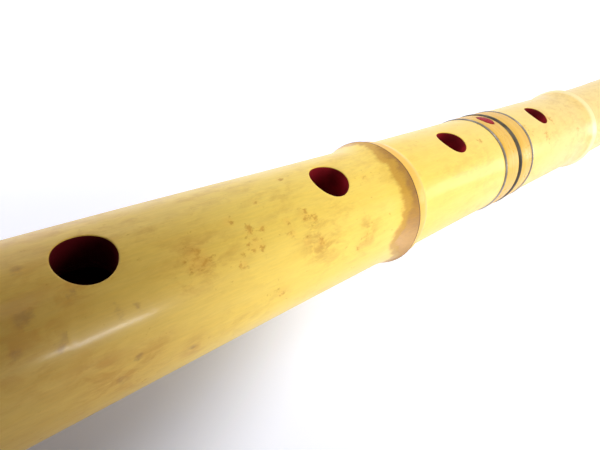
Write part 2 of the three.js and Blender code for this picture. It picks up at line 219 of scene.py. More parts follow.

# Marks on the skin: millimetres from the root face, degrees from the finger holes towards +Y,
# and radius in millimetres. Specks gather in the first kind; each of the second kind is one small soft
# brown mark, and those in the mouth half are painted shade along its upper far side; the third is a patch
# where the skin is more golden, and the fourth is the same, wide and faint.
SPECK_CLUSTERS = (
    (145, -8, 1.4),
    (157, -21, 1.2),
    (162, -22, 1.7),
    (164, -26, 1.2),
    (157, -31, 1.4),
    (160, -40, 1.2),
    (164, -44, 1.4),
    (175, -61, 1.3),
    (178, -54, 1.2),
    (148, -29, 2.1),
    (148, -18, 1.2),
    (151, -20, 1.1),
    (144, -38, 1.2),
    (136, -24, 2.8),
    (152, -70, 1.3),
    (153, 0, 1.0),
    (163, 15, 1.0),
    (184, -9, 1.5),
    (240, -12, 1.5),
    (272, -13, 1.8),
    (274, -22, 1.6),
    (286, -33, 3.2),
    (295, -9, 2.0),
    (296, -16, 1.6),
    (317, -42, 2.0),
)
SPOTS_AND_PAINTED_SHADE = (
    (111, 5, 1.4),
    (109, -23, 1.7),
    (113, -38, 1.3),
    (112, -42, 0.9),
    (107, -36, 1.2),
    (121, -35, 1.2),
    (124, -37, 0.7),
    (116, -18, 1.0),
    (119, -77, 1.2),
    (122, -66, 0.9),
    (132, -79, 1.1),
    # Painted shade along the upper far side of the mouth half
    (340, 50, 2.0),
    (347, 50, 2.4),
    (355, 50, 2.2),
    (383, 50, 1.8),
    (390, 50, 2.4),
    (398, 50, 2.6),
)
GOLDEN_PATCHES = (
    (107, -36, 4.0),
    (110, -24, 4.5),
    (116, -18, 3.2),
    (116, -62, 4.2),
    (119, -77, 5.0),
    (125, -70, 3.6),
    (132, -79, 2.6),
    (136, -24, 5.0),
    (164, -44, 4.2),
    (178, -54, 3.0),
)
WIDE_GOLDEN_PATCHES = ((328, -42, 21.0),)

# Finishes of a face, in the order of a piece's material slots, and the sides of a wall
SKIN, CUT, LACQUER = 0, 1, 2
OUTSIDE, INSIDE, END = 0, 1, 2


def length(name, description, millimetres):
    """A property for a length"""
    return FloatProperty(
        name=name, description=description, default=millimetres * MM, unit="LENGTH", precision=5
    )


def turned_by(name, description, degrees):
    """A property for an angle"""
    return FloatProperty(name=name, description=description, default=math.radians(degrees), subtype="ANGLE")


def colour(name, description, value):
    """A property for a colour"""
    return FloatVectorProperty(
        name=name, description=description, default=value, subtype="COLOR", size=3, min=0, max=1
    )


def share(name, description, value):
    """A property for a share of something else"""
    return FloatProperty(name=name, description=description, default=value, subtype="FACTOR", min=0, max=1)


def power(name, description, watts):
    """A property for a lamp's power"""
    return FloatProperty(name=name, description=description, default=watts, unit="POWER")


def glow(name, description, value):
    """A property for the strength of a light that has no power of its own"""
    return FloatProperty(name=name, description=description, default=value, min=0)


def stage_place(name, description, millimetres):
    """A property for a place in the studio"""
    place = [part * MM for part in millimetres]
    return FloatVectorProperty(
        name=name, description=description, default=place, subtype="TRANSLATION", unit="LENGTH", precision=5
    )


def node_lengths(name, description, millimetres):
    """A property for one length for each of the bamboo's nodes"""
    lengths = [part * MM for part in millimetres]
    return FloatVectorProperty(
        name=name, description=description, default=lengths, size=len(lengths), unit="LENGTH", precision=5
    )


def node_shares(name, description, values):
    """A property for one share for each of the bamboo's nodes"""
    return FloatVectorProperty(
        name=name, description=description, default=values, size=len(values), min=0, max=1
    )


class CulmSizes(PropertyGroup):
    """Sizes of the bamboo; its nodes are counted from the root"""

    flute_length: length("Flute length", "From the root face to the mouth", (MOUTH_FACE_X - ROOT_FACE_X) / MM)
    culm_radius: length("Culm radius", "Radius of the plain bamboo", 16.2)
    root_swell: length("Root swell", "How far the root end swells over the plain bamboo", 8.5)
    root_swell_length: length("Root swell length", "How far from the root face the swelling reaches", 100)
    root_edge_round: length("Root edge round", "Rounding of the root end's rim", 3)
    mouth_swell: length("Mouth swell", "How far the mouth swells over the plain bamboo", 0.8)
    mouth_swell_length: length("Mouth swell length", "How far from the mouth the swelling reaches", 40)
    mouth_edge_round: length("Mouth edge round", "Rounding of the mouth's rim", 1.4)
    root_bend_length: length("Root bend length", "How far from the root face the bamboo bends up", 103)
    mouth_bow: length("Mouth bow", "Height of the slight bow of the mouth half", 2.6)
    mouth_bow_length: length("Mouth bow length", "How far from the mouth the bow reaches", 195)
    node_places: node_lengths(
        "Node places",
        "Distances of the bamboo's nodes from the root face",
        (9.81, 29.975, 56.135, 92.105, 197.29, 335.9925, 537.915),
    )
    node_rises: node_lengths(
        "Node rises", "How far before its crest each node starts to rise", (5, 5, 5, 5, 9, 17, 9)
    )
    node_scars: node_shares(
        "Node scars",
        "How strongly each node shows its dry sheath scar",
        (0.45, 0.5, 0.55, 0.7, 1.0, 0.0, 0.3),
    )
    node_crests: node_shares(
        "Node crests",
        "How strongly each node shows its dark crest line",
        (0.8, 0.8, 0.8, 0.9, 1.0, 0.12, 0.7),
    )
    node_collars: node_shares(
        "Node collars",
        "How strongly each node shows its orange collar",
        (0.1, 0.15, 0.2, 0.4, 1.0, 0.2, 0.3),
    )
    # The pale ring on a node's crest is a painted highlight
    node_painted_shines: node_shares(
        "Node shines", "How strongly each node shows a pale ring on its crest", (0, 0, 0, 0, 0, 0.75, 0)
    )
    scar_reach: length("Scar reach", "How far a sheath scar reaches down from its node", 4.5)
    scar_widening: length("Scar widening", "How much farther it reaches on one side", 4.8)
    scar_narrowing: length("Scar narrowing", "How much less it reaches on the other side", 1.9)
    wide_gold: share("Wide gold", "Strength of the wide golden patch beside the far node", 0.45)
    root_nodes: IntProperty(name="Root nodes", description="How many nodes lie in the root end", default=4)
    root_node_height: length("Root node height", "How far a node of the root end stands out", 1.2)
    root_node_side: length("Root node side", "How far a node of the root end reaches on the mouth side", 5)
    culm_node_height: length("Node height", "How far a node stands out", 1.5)
    culm_node_mouth_side: length("Node mouth side", "How far its collar reaches on the mouth side", 6)
    node_wander: length("Node wander", "How far a node strays from a true circle", 0.3)
    unevenness: length("Unevenness", "How far the bamboo strays from a true round", 0.14)
    root_unevenness: length("Root unevenness", "How far the root end strays from a true round", 0.3)
    stub_radius: length("Stub radius", "Radius of a cut rootlet", 1.8)
    stub_height: length("Stub height", "How far a cut rootlet stands out", 0.7)
    stub_offset: length("Stub offset", "How far the rootlets lie behind their node", 3.6)
    stub_sink: length("Stub sink", "How far a rootlet reaches into the wall", 1.5)


class BoreSizes(PropertyGroup):
    """Sizes of the bore and of the holes"""

    root_bore_radius: length("Root bore radius", "Radius of the bore at the root face", 9.3)
    throat_bore_radius: length("Throat radius", "Radius of the bore at its narrowest", 8.3)
    mouth_bore_radius: length("Mouth bore radius", "Radius of the bore at the mouth", 10)
    throat_share: share("Throat place", "Where the bore is narrowest, as a share of the length", 0.2)
    lining_wall: length("Lining wall", "Thickness of the bore's lining", 1)
    lining_gap: length("Lining gap", "Room between the bamboo and the lining", 0.08)
    lining_setback: length("Lining setback", "How far the lining stays behind the end faces", 0.6)
    hole_radius: length("Hole radius", "Radius of a finger hole", 4.88)
    hole_rim: length("Hole rim", "Rounding of a finger hole's rim", 0.2)
    hole_window: length("Hole window", "Half length of the patch round a hole", 6.6)
    cut_angle: turned_by("Blowing cut", "Slope of the oblique cut", 30)
    blowing_edge_height: length("Blowing edge height", "Height of the cut's foot over the axis", 9.4)
    chin_depth: length("Chin depth", "Height of the bevel on the chin's side", 4)
    chin_length: length("Chin length", "Length of the bevel on the chin's side", 6)
    crease_round: length("Crease round", "How softly the cuts of the mouth meet", 0.12)
    insert_edge_width: length("Insert edge width", "Width of the insert at the blowing edge", 15)
    insert_tip_width: length("Insert tip width", "Width of the insert at its tip", 7)
    insert_reach: length("Insert reach", "Length of the insert up the cut", 9.5)
    insert_depth: length("Insert depth", "How deep the insert is let in", 3.2)


class JointSizes(PropertyGroup):
    """Sizes of the middle joint"""

    seat_gap: length("Seat gap", "Room beside a seated ring", 0.2)
    seat_radius: length("Seat radius", "Radius of the bamboo under a binding", 15.02)
    spigot_radius: length("Spigot radius", "Radius of the bamboo under a seam ring", 14.22)
    shoulder_round: length("Shoulder round", "Rounding of the bamboo's edge beside the joint", 0.18)
    ring_inner_radius: length("Ring inner radius", "Inner radius of a seam ring", 14.3)
    ring_radius: length("Ring radius", "Outer radius of a seam ring", 16.7)
    seam_gap: length("Seam gap", "Fine line between the two seam rings", 0.1)
    binding_inner_radius: length("Binding inner radius", "Inner radius of a binding and of a wire ring", 15.1)
    binding_radius: length("Binding radius", "Outer radius of a binding at its crown", 16.5)
    binding_crown: length("Binding crown", "How far a binding is crowned", 0.15)
    binding_edge: length("Binding edge", "Rounding of a binding's edges", 0.25)
    wire_radius: length("Wire ring radius", "Outer radius of a wire ring", 16.55)
    tenon_chamfer: length("Tenon chamfer", "Chamfer of the tenon's tip", 1)
    socket_wall: length("Socket lining wall", "Thickness of the socket's lining", 1)
    seal_length: length("Seal length", "Length of the red oval along the flute", 5)
    seal_width: length("Seal width", "Width of the red oval round the flute", 6.6)
    seal_turn: turned_by("Seal turn", "Turn of the red oval", 15)
    seal_depth: length("Seal depth", "How deep the red oval is let in", 0.7)
    seal_height: length("Seal height", "How far the red oval is domed", 0.12)
    seal_window: length("Seal window", "Half length of the patch round the oval", 3.1)


class FluteColours(PropertyGroup):
    """Colours of the finishes"""

    bamboo_gold: colour("Bamboo gold", "Skin of the middle of the flute", (0.93, 0.645, 0.095))
    bamboo_pale: colour("Bamboo pale", "Paler streaks of the skin", (0.95, 0.69, 0.13))
    bamboo_mouth: colour("Bamboo mouth", "Skin of the mouth half", (0.88, 0.63, 0.17))
    # The root end's colours are browner than the bamboo's own, and darker still as painted shade
    bamboo_root_and_shade: colour("Bamboo root", "Skin of the root end", (0.66, 0.40, 0.062))
    bamboo_root_pale_and_shade: colour("Root streaks", "Paler streaks of the root end", (0.72, 0.46, 0.09))
    stain: colour("Stain", "Mottling of the skin", (0.58, 0.29, 0.035))
    scar: colour("Scar", "Dry sheath scar before a node", (0.35, 0.17, 0.055))
    # Painted light: the scar's colour where it is painted pale on its lit side
    scar_pale: colour("Scar, pale side", "Sheath scar on its wide side", (0.78, 0.47, 0.20))
    scar_fringe: colour("Scar fringe", "Ragged edge of the sheath scar", (0.55, 0.27, 0.022))
    speck: colour("Speck", "Small spots on the skin", (0.50, 0.225, 0.01))
    # Soft brown marks of the root half, and the same colour as painted shade on the mouth half's upper far
    # side
    spot: colour("Spot", "Soft brown spots of the root half", (0.34, 0.155, 0.04))
    crest: colour("Crest", "Dark line on a node's crest", (0.085, 0.05, 0.035))
    collar: colour("Collar", "Smooth collar behind a node", (0.90, 0.50, 0.08))
    # Painted highlight on the crest of a smooth node
    shine: colour("Shine", "Pale ring on a smooth node", (0.97, 0.82, 0.42))
    cut_wood: colour("Cut wood", "Cut face of the bamboo's wall", (0.55, 0.37, 0.17))
    cut_fibres: colour("Cut fibres", "Fibres in the cut face", (0.20, 0.105, 0.04))
    bore_red: colour("Bore red", "Lacquer of the bore and of the hole walls", (0.33, 0.014, 0.024))
    hard_black: colour("Hard black", "Lacquer of the tenon and its socket", (0.022, 0.014, 0.012))
    binding_amber: colour("Binding amber", "Bindings of the joint", (0.77, 0.42, 0.03))
    binding_pale: colour("Binding pale", "Paler strands of the bindings", (0.83, 0.50, 0.07))
    ring_dark: colour("Ring dark", "Tarnished seam rings", (0.14, 0.115, 0.085))
    ring_silver: colour("Ring silver", "Wire rings", (0.36, 0.32, 0.27))
    ring_tarnish: colour("Ring tarnish", "Tarnish on the seam rings", (0.035, 0.03, 0.02))
    wire_tarnish: colour("Wire tarnish", "Tarnish on the wire rings", (0.08, 0.06, 0.05))
    seal_red: colour("Seal red", "Oval in the binding", (0.38, 0.004, 0.016))
    horn_black: colour("Horn black", "Insert of the blowing edge", (0.018, 0.014, 0.012))


class StageSettings(PropertyGroup):
    """Lamps, floor, flag and camera"""

    sky_strength: glow("Sky", "Light from all round", 0.4)
    side_power: power("Side lamp", "Soft lamp on the near side", 11.5)
    far_power: power("Far lamp", "Soft lamp on the far side", 8.0)
    top_power: power("Top lamp", "Soft lamp above", 2.0)
    streak_power: power("Streak lamp", "Narrow lamp of the highlight at the root end", 0.016)
    glint_power: power("Glint lamp", "Small lamp that only shows in gloss", 0.75)
    glow_shaded: glow("Glow in the shade", "White that the camera sees in the floor's shade", 0.0)
    glow_near: glow("Glow near", "White in the floor near the flute", 0.59)
    glow_far: glow("Glow far", "White in the floor far from the flute", 0.85)
    shade_place: stage_place("Shade place", "Middle of the floor's shade", (-166, 61, 0))
    flag_low: stage_place("Flag low corner", "Low corner of the flag over the root end", (-330, -90, 3))
    flag_high: stage_place("Flag high corner", "High corner of the flag over the root end", (-101, 65, 78))
    flag_density: share("Flag density", "How much light the flag takes", 0.96)
    flag_fade: length("Flag fade", "Over what length the flag's ends grow clear", 40)
    flag_foot_fade: length("Flag foot fade", "Over what height the flag's foot grows clear", 34)
    lens: FloatProperty(name="Lens", description="Focal length of the camera", default=28.02, unit="CAMERA")
    camera_place: stage_place("Camera place", "Where the camera stands", (-172.33, -44.99, 95.62))
    camera_turn: FloatVectorProperty(
        name="Camera turn",
        description="How the camera is turned",
        default=[math.radians(angle) for angle in (45.218, -18.745, -40.035)],
        subtype="EULER",
        precision=5,
    )


# Curves of one number

def soft_step(low, high, value):
    """0 below low, 1 above high, and three share squared less two share cubed between"""
    part = np.clip((value - low) / (high - low), 0, 1)
    return part * part * (3 - 2 * part)


def arc_turns(count):
    """Angles of a quarter circle, as a column"""
    return np.linspace(0, math.pi / 2, count)[:, None]


def even_turns(columns):
    """Even turns all round the flute"""
    return np.arange(columns) * TURN / columns


class Culm:
    """The bamboo's outline and bend, worked out for whole arrays of places and turns"""

    swell_power = 1.6
    rise_power = 2.2
    collar_share = 0.68
    collar_flat = 0.45
    groove_share = 0.16
    lip_length = 0.22 * MM
    root_lip_length = 0.8 * MM
    groove_place = 0.5 * MM
    groove_width = 0.22 * MM
    calm_near = 13 * MM
    calm_far = 34 * MM
    phase_step = 2.4
    stray_near = 3 * MM
    stray_far = 11 * MM
    slow_wave = 40
    lump_waves = (90, 150, 60)
    lumpy_shares = (0.3, 1.1)

    def __init__(self, scene):
        self.sizes = scene.culm_sizes
        self.bore = scene.bore_sizes
        self.joint = scene.joint_sizes
        self.length = self.sizes.flute_length
        self.seam = (node_place("lower_seam_ring", 1) + node_place("upper_seam_ring", 0)) / 2
        places = np.array(self.sizes.node_places)
        at_root = np.arange(len(places)) < self.sizes.root_nodes
        self.node_places = places
        self.node_heights = np.where(at_root, self.sizes.root_node_height, self.sizes.culm_node_height)
        self.root_sides = np.array(self.sizes.node_rises)
        self.mouth_sides = np.where(at_root, self.sizes.root_node_side, self.sizes.culm_node_mouth_side)
        self.lip_lengths = np.where(at_root, self.root_lip_length, self.lip_length)
        self.phases = np.arange(len(places)) * self.phase_step
        first, last = places[0], places[-1]
        higher = self.plain_radius(first) + self.node_heights[0]
        lower = self.plain_radius(last) + self.node_heights[-1]
        self.root_rise = (higher - lower) / (1 - first / self.sizes.root_bend_length) ** 2

    def plain_radius(self, place):
        """Plain radius, plus the root's swelling falling with a power of the share that is left, plus
        the mouth's swelling falling with its square"""
        sizes = self.sizes
        root_part = np.maximum(0, 1 - place / sizes.root_swell_length)
        mouth_part = np.maximum(0, 1 - (self.length - place) / sizes.mouth_swell_length)
        swollen = sizes.culm_radius + sizes.root_swell * root_part ** self.swell_power
        return swollen + sizes.mouth_swell * mouth_part ** 2

    def relief(self, place, turn):
        """Height of the nodes: before the crest a power of the share risen, behind it a collar that
        ends in a soft step, a lip that dies away, and a fine groove between them, all of it made
        uneven by two waves round the flute"""
        place, turn = np.broadcast_arrays(place, turn)
        height = np.zeros(place.shape)
        for number, node in enumerate(self.node_places):
            along = place - node
            risen = np.clip(1 + along / self.root_sides[number], 0, 1) ** self.rise_power
            side = self.mouth_sides[number]
            collar = self.collar_share * (1 - soft_step(side * self.collar_flat, side, along))
            lip = (1 - self.collar_share) * np.exp(-np.maximum(along, 0) / self.lip_lengths[number])
            groove = self.groove_share * np.exp(-((along - self.groove_place) / self.groove_width) ** 2)
            fallen = np.where(along < side, collar + lip - groove, 0)
            part = np.where(along <= 0, risen, fallen)
            phase = self.phases[number]
            uneven = 1 + 0.1 * np.sin(2 * turn + phase) + 0.05 * np.sin(5 * turn + phase)
            height = np.maximum(height, self.node_heights[number] * uneven * part)
        return height

    def calm(self, place):
        """0 beside the joint, where the bamboo is turned true, and 1 away from it"""
        return soft_step(self.calm_near, self.calm_far, np.abs(place - self.seam))

    def radius(self, place, turn):
        """Plain radius, plus the nodes, plus an oval, a three-sided and a five-sided unevenness that
        wander slowly along the flute, plus lumps where the root end swells"""
        wave = self.slow_wave * place
        uneven = np.cos(2 * turn - 1.2 + wave / 3) + 0.5 * np.sin(3 * turn + wave)
        uneven = uneven + 0.4 * np.sin(5 * turn - wave * 1.7)
        uneven = self.sizes.unevenness * uneven * self.calm(place)
        rootward = 1 - soft_step(*self.lumpy_shares, place / self.sizes.root_swell_length)
        twist, beat, counter_twist = (count * place for count in self.lump_waves)
        lumps = np.sin(3 * turn + twist) * np.sin(beat) + 0.7 * np.sin(6 * turn - counter_twist)
        lumps = self.sizes.root_unevenness * rootward * lumps
        return self.plain_radius(place) + self.relief(place, turn) + uneven + lumps

    def shift(self, place, turn):
        """How far a node's ring strays along the flute: three waves round it, dying away beside the node"""
        place, turn = np.broadcast_arrays(place, turn)
        strayed = np.zeros(place.shape)
        for node, phase in zip(self.node_places, self.phases):
            near = 1 - soft_step(self.stray_near, self.stray_far, np.abs(place - node))
            wave = np.sin(turn + phase) + 0.45 * np.sin(3 * turn + 2 * phase)
            wave = wave + 0.3 * np.sin(8 * turn + 3 * phase)
            strayed = strayed + near * wave
        return self.sizes.node_wander * strayed

    def bore_radius(self, place, _turn=None):
        """Straight tapers from the root to the throat and from the throat to the mouth"""
        places = [0, self.bore.throat_share * self.length, self.length]
        radii = [self.bore.root_bore_radius, self.bore.throat_bore_radius, self.bore.mouth_bore_radius]
        return np.interp(place, places, radii)

    def lining_radius(self, place, _turn=None):
        """The lining's outer radius: the bore's and the lining's wall"""
        return self.bore_radius(place) + self.bore.lining_wall

    def wall_radius(self, place, _turn=None):
        """The bamboo's inner radius: the lining's outer one and its gap"""
        return self.lining_radius(place) + self.bore.lining_gap

    def rise(self, place):
        """Height of the bent axis over the straight one: a square towards the root, and a squared sine
        over the mouth half"""
        root_part = np.maximum(0, 1 - place / self.sizes.root_bend_length)
        bow_part = np.clip(1 - (self.length - place) / self.sizes.mouth_bow_length, 0, 1)
        return self.root_rise * root_part ** 2 + self.sizes.mouth_bow * np.sin(math.pi * bow_part) ** 2

    def end_at(self, height):
        """Where the mouth's cuts end the flute, at a height over the straight axis: the lowest of the end
        face, the blowing cut and the chin's bevel, rounded where they meet"""
        slope = math.tan(self.bore.cut_angle)
        rim = -self.plain_radius(self.length)
        blowing = self.length - (height - self.bore.blowing_edge_height) / slope
        chin_slope = self.bore.chin_length / self.bore.chin_depth
        chin = self.length - self.bore.chin_length + (height - rim) * chin_slope
        face = np.full(np.shape(height), self.length)
        ends = np.stack([face, blowing, chin])
        lowest = ends.min(axis=0)
        soft = self.bore.crease_round
        return lowest - soft * np.log(np.exp((lowest - ends) / soft).sum(axis=0))

    def mouth_end(self, turn, radius_at):
        """The place at which a wall of the given radius meets the mouth's cuts, found by halving"""
        low = np.full(np.shape(turn), self.length / 2)
        high = np.full(np.shape(turn), self.length)
        for _ in range(HALVINGS):
            middle = (low + high) / 2
            height = radius_at(middle) * np.cos(turn) + self.rise(middle)
            inside = self.end_at(height) > middle
            low = np.where(inside, middle, low)
            high = np.where(inside, high, middle)
        return (low + high) / 2

    def points(self, place, turn, radius):
        """Points in the row's frame: x from the place, y the radius times the sine of the turn, z the
        axis, its rise and the radius times the cosine"""
        place, turn, radius = np.broadcast_arrays(place, turn, radius)
        y = radius * np.sin(turn)
        z = AXIS_HEIGHT + self.rise(place) + radius * np.cos(turn)
        return np.stack([ROOT_FACE_X + place, y, z], axis=-1)


# Meshes

class Hole:
    """A hole or an oval seat in a wall, with the patch of the grid that it takes. The shares say how
    far each of its rings lies on the way from the window's edge to the rim, from the rim down the
    wall, from the foot back to the window inside, and from the foot to the middle of a seat's floor."""

    window_shares = (0.25, 0.5, 0.72, 0.88, 1.0)
    wall_shares = (0.34, 0.67, 1.0)
    inner_shares = (0.7, 0.4)
    floor_shares = (0.5, 0.02)
    rim_steps = 5

    def __init__(self, place, facing, half_length, half_width, rim, window, span, floor=None):
        self.place = place
        self.facing = facing
        self.half_length = half_length
        self.half_width = half_width
        self.rim = rim
        self.window = window
        self.span = span
        self.floor = floor


def spread_places(start, end, step, holes=(), nodes=(), window_cells=HOLE_WINDOW_CELLS):
    """Places from start to end: evenly spaced, closer and closer towards each node's crest, and
    the same number in every hole's window"""
    count = max(2, int(round((end - start) / step)) + 1)
    places = np.concatenate([np.linspace(start, end, count)] + list(nodes))
    places = places[(places >= start) & (places <= end)]
    for hole in holes:
        places = places[np.abs(places - hole.place) > hole.window]
    window = np.linspace(-1, 1, window_cells + 1)
    windows = [hole.place + hole.window * window for hole in holes]
    return np.unique(np.round(np.concatenate([places] + windows), ROUND_DIGITS))


def crest_places(culm, start, end):
    """Places round every node between start and end, closest at its crest: a square of even shares
    of its rise before it, and a power of even shares of a little more than its collar behind it"""
    found = []
    for node, root_side, mouth_side in zip(culm.node_places, culm.root_sides, culm.mouth_sides):
        if start < node < end:
            found.append(node - root_side * np.linspace(1, 0, 13) ** 2)
            found.append(node + mouth_side * 1.15 * np.linspace(0, 1, 17) ** 1.7)
    return found


def band(place, turn, radius, finish, side):
    """Rows of a wall as a grid of places and radii, with the finish and the side that they belong to"""
    grid_place, grid_radius, _ = np.broadcast_arrays(place, radius, turn)
    return {"place": grid_place, "radius": grid_radius, "finish": finish, "side": side}


def quads_round(index):
    """Faces between each row of point numbers and the next, closed round the rows"""
    ahead = np.roll(index, -1, axis=1)
    return np.stack([index[:-1], index[1:], ahead[1:], ahead[:-1]], axis=-1)


def window_loop(rows, columns):
    """Row and column numbers round a window's edge, as one loop"""
    last_row = np.full(len(columns), rows[-1])
    first_row = np.full(len(columns), rows[0])
    last_column = np.full(len(rows), columns[-1])
    first_column = np.full(len(rows), columns[0])
    loop_rows = [first_row[:-1], rows[:-1], last_row[:-1], rows[::-1][:-1]]
    loop_columns = [columns[:-1], last_column[:-1], columns[::-1][:-1], first_column[:-1]]
    return np.concatenate(loop_rows), np.concatenate(loop_columns)


def hole_rings(culm, hole, place, turn, outer, inner):
    """Rings of points from the window's edge to the hole, over its rim, down its wall, and on to the
    same window inside: straight shares in place and turn on each side, a quarter circle at the rim.
    Returns the points, their places and how many of the rings are skin."""
    half_turn = np.abs(turn).max()
    angle = np.arctan2(turn / half_turn, (place - hole.place) / hole.window)
    along, across = np.cos(angle), np.sin(angle)
    rings = []

    def on_surface(grow, surface):
        """Place and turn of the oval, grown by a length, where it meets a surface"""
        ring_place = hole.place + (hole.half_length + grow) * along
        y = (hole.half_width + grow) * across
        ring_turn = np.arcsin(np.clip(y / surface(hole.place, hole.facing), -1, 1))
        for _ in range(4):
            ring_turn = np.arcsin(np.clip(y / surface(ring_place, hole.facing + ring_turn), -1, 1))
        return ring_place, ring_turn

    def local(ring_place, ring_turn, surface):
        """Place, and the radius times the sine and the cosine of the turn"""
        radius = surface(ring_place, hole.facing + ring_turn)
        return ring_place, radius * np.sin(ring_turn), radius * np.cos(ring_turn)

    def rings_between(shares, end_place, end_turn, surface):
        """Adds rings on a surface, at shares of the way from the window's edge to an oval"""
        for part in shares:
            ring_place = place + (end_place - place) * part
            ring_turn = turn + (end_turn - turn) * part
            rings.append(local(ring_place, ring_turn, surface))

    rings_between(Hole.window_shares, *on_surface(hole.rim, outer), outer)
    for arc in arc_turns(Hole.rim_steps)[1:, 0]:
        x, y, z = local(*on_surface(hole.rim * (1 - math.sin(arc)), outer), outer)
        rings.append((x, y, z - hole.rim * (1 - math.cos(arc))))
    skin_rings = len(rings)
    top = rings[-1]
    if hole.floor is None:
        foot_oval = on_surface(0, inner)
        foot = local(*foot_oval, inner)
    else:
        foot = (top[0], top[1], np.sqrt(hole.floor ** 2 - top[1] ** 2))
    for part in Hole.wall_shares:
        rings.append(tuple(a + (b - a) * part for a, b in zip(top, foot)))
    if hole.floor is None:
        rings_between(Hole.inner_shares, *foot_oval, inner)
    else:
        for part in Hole.floor_shares:
            rings.append((hole.place + (foot[0] - hole.place) * part, foot[1] * part, foot[2]))
    x, y, z = (np.stack(parts) for parts in zip(*rings))
    sine, cosine = math.sin(hole.facing), math.cos(hole.facing)
    up = AXIS_HEIGHT + culm.rise(x) - y * sine + z * cosine
    return np.stack([ROOT_FACE_X + x, y * cosine + z * sine, up], axis=-1), x, skin_rings


class Wall:
    """A closed wall: the rows of its bands joined all round and end to end, with patches for holes"""

    def __init__(self, culm, turns, bands):
        self.culm = culm
        self.place = np.vstack([part["place"] for part in bands])
        self.finish = np.concatenate([np.full(len(part["place"]), part["finish"]) for part in bands])
        self.side = np.concatenate([np.full(len(part["place"]), part["side"]) for part in bands])
        self.index = np.arange(self.place.size).reshape(self.place.shape)
        self.open_cells = np.zeros(self.place.shape, bool)
        self.total = self.place.size
        radius = np.vstack([part["radius"] for part in bands])
        moved = self.place + culm.shift(self.place, turns) * (self.finish == SKIN)[:, None]
        self.points = [culm.points(moved, turns, radius).reshape(-1, 3)]
        self.places = [self.place.ravel()]
        self.faces = []
        self.finishes = []

    def open_window(self, hole, side, columns):
        """Takes the cells of a hole's window out of one side, and gives the loop round them"""
        inside = np.abs(self.place[:, columns[0]] - hole.place) <= hole.window + WINDOW_SLACK
        rows = np.flatnonzero((self.side == side) & inside)
        self.open_cells[np.ix_(rows[:-1], columns[:-1])] = True
        return window_loop(rows[::-1] if side == INSIDE else rows, columns)

    def cut(self, hole, outer, inner):
        """Opens a hole's windows and joins their edges to its rings; a seat gets a floor instead"""
        columns = self.index.shape[1]
        middle = int(round(hole.facing / TURN * columns))
        window_columns = (middle + np.arange(-hole.span, hole.span + 1)) % columns
        loop_rows, loop_columns = self.open_window(hole, OUTSIDE, window_columns)
        offsets = (loop_columns - middle + columns // 2) % columns - columns // 2
        ring_points, ring_places, skin_rings = hole_rings(
            self.culm, hole, self.place[loop_rows, loop_columns], offsets * TURN / columns, outer, inner
        )
        ring_index = self.total + np.arange(ring_places.size).reshape(ring_places.shape)
        self.total += ring_places.size
        self.points.append(ring_points.reshape(-1, 3))
        self.places.append(ring_places.ravel())
        chain = [self.index[loop_rows, loop_columns]] + list(ring_index)
        if hole.floor is None:
            chain.append(self.index[self.open_window(hole, INSIDE, window_columns)])
        chain = np.stack(chain)
        kinds = [self.finish[loop_rows[0]]] * skin_rings + [LACQUER] * (len(chain) - 1 - skin_rings)
        self.faces.append(quads_round(chain).reshape(-1, 4))
        self.finishes.append(np.repeat(kinds, chain.shape[1]))
        if hole.floor is not None:
            self.close_floor(ring_index[-1])

    def close_floor(self, ring):
        """Faces across the innermost ring of a seat, between its two halves"""
        half = len(ring) // 2
        near = ring[:half]
        far = ring[half:][::-1]
        self.faces.append(np.stack([near[:-1], far[:-1], far[1:], near[1:]], axis=-1))
        self.finishes.append(np.full(half - 1, LACQUER))

    def mesh(self):
        """Points, places, faces of four corners, and each face's finish"""
        kept = ~self.open_cells
        faces = self.faces + [quads_round(np.vstack([self.index, self.index[:1]]))[kept]]
        row_finish = np.maximum(self.finish, np.roll(self.finish, -1))
        finishes = self.finishes + [np.broadcast_to(row_finish[:, None], kept.shape)[kept]]
        return np.vstack(self.points), np.concatenate(self.places), np.vstack(faces), np.concatenate(finishes)


def wall_mesh(culm, turns, bands, holes=(), outer=None, inner=None):
    """Mesh of a wall whose holes pass from an outer surface to an inner one"""
    wall = Wall(culm, turns, bands)
    for hole in holes:
        wall.cut(hole, outer, inner)
    return wall.mesh()


def join_equal_points(mesh):
    """Rows that were cut short lie on one point; they are joined, and their empty faces go"""
    joined = bmesh.new()
    joined.from_mesh(mesh)
    bmesh.ops.remove_doubles(joined, verts=joined.verts, dist=SAME_POINT)
    bmesh.ops.dissolve_degenerate(joined, edges=joined.edges, dist=SAME_POINT)
    joined.to_mesh(mesh)
    joined.free()


def new_piece(name, points, faces, materials, finishes=None, numbers=None, sharp=35, merged=False):
    """A mesh object at the origin from points, faces, their finishes and numbers kept at the points.
    Edges sharper than a number of degrees stay sharp."""
    mesh = bpy.data.meshes.new(name)
    mesh.from_pydata(points.tolist(), [], faces.tolist() if isinstance(faces, np.ndarray) else faces)
    for look in materials:
        mesh.materials.append(look)
    if finishes is not None:
        mesh.polygons.foreach_set("material_index", np.asarray(finishes, dtype=np.int32))
    for key, values in (numbers or {}).items():
        layer = mesh.attributes.new(key, "FLOAT", "POINT")
        layer.data.foreach_set("value", np.asarray(values, dtype=np.float32))
    mesh.polygons.foreach_set("use_smooth", np.ones(len(mesh.polygons), dtype=bool))
    mesh.update()
    if merged:
        join_equal_points(mesh)
    mesh.set_sharp_from_angle(angle=math.radians(sharp))
    piece = bpy.data.objects.new(name, mesh)
    bpy.context.scene.collection.objects.link(piece)
    return piece


def settle(piece, body, slot, *nodes):
    """The piece rides on a body and stands for CAD nodes, which it hides; the slot is not used"""
    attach(piece, body)
    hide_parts(*nodes)


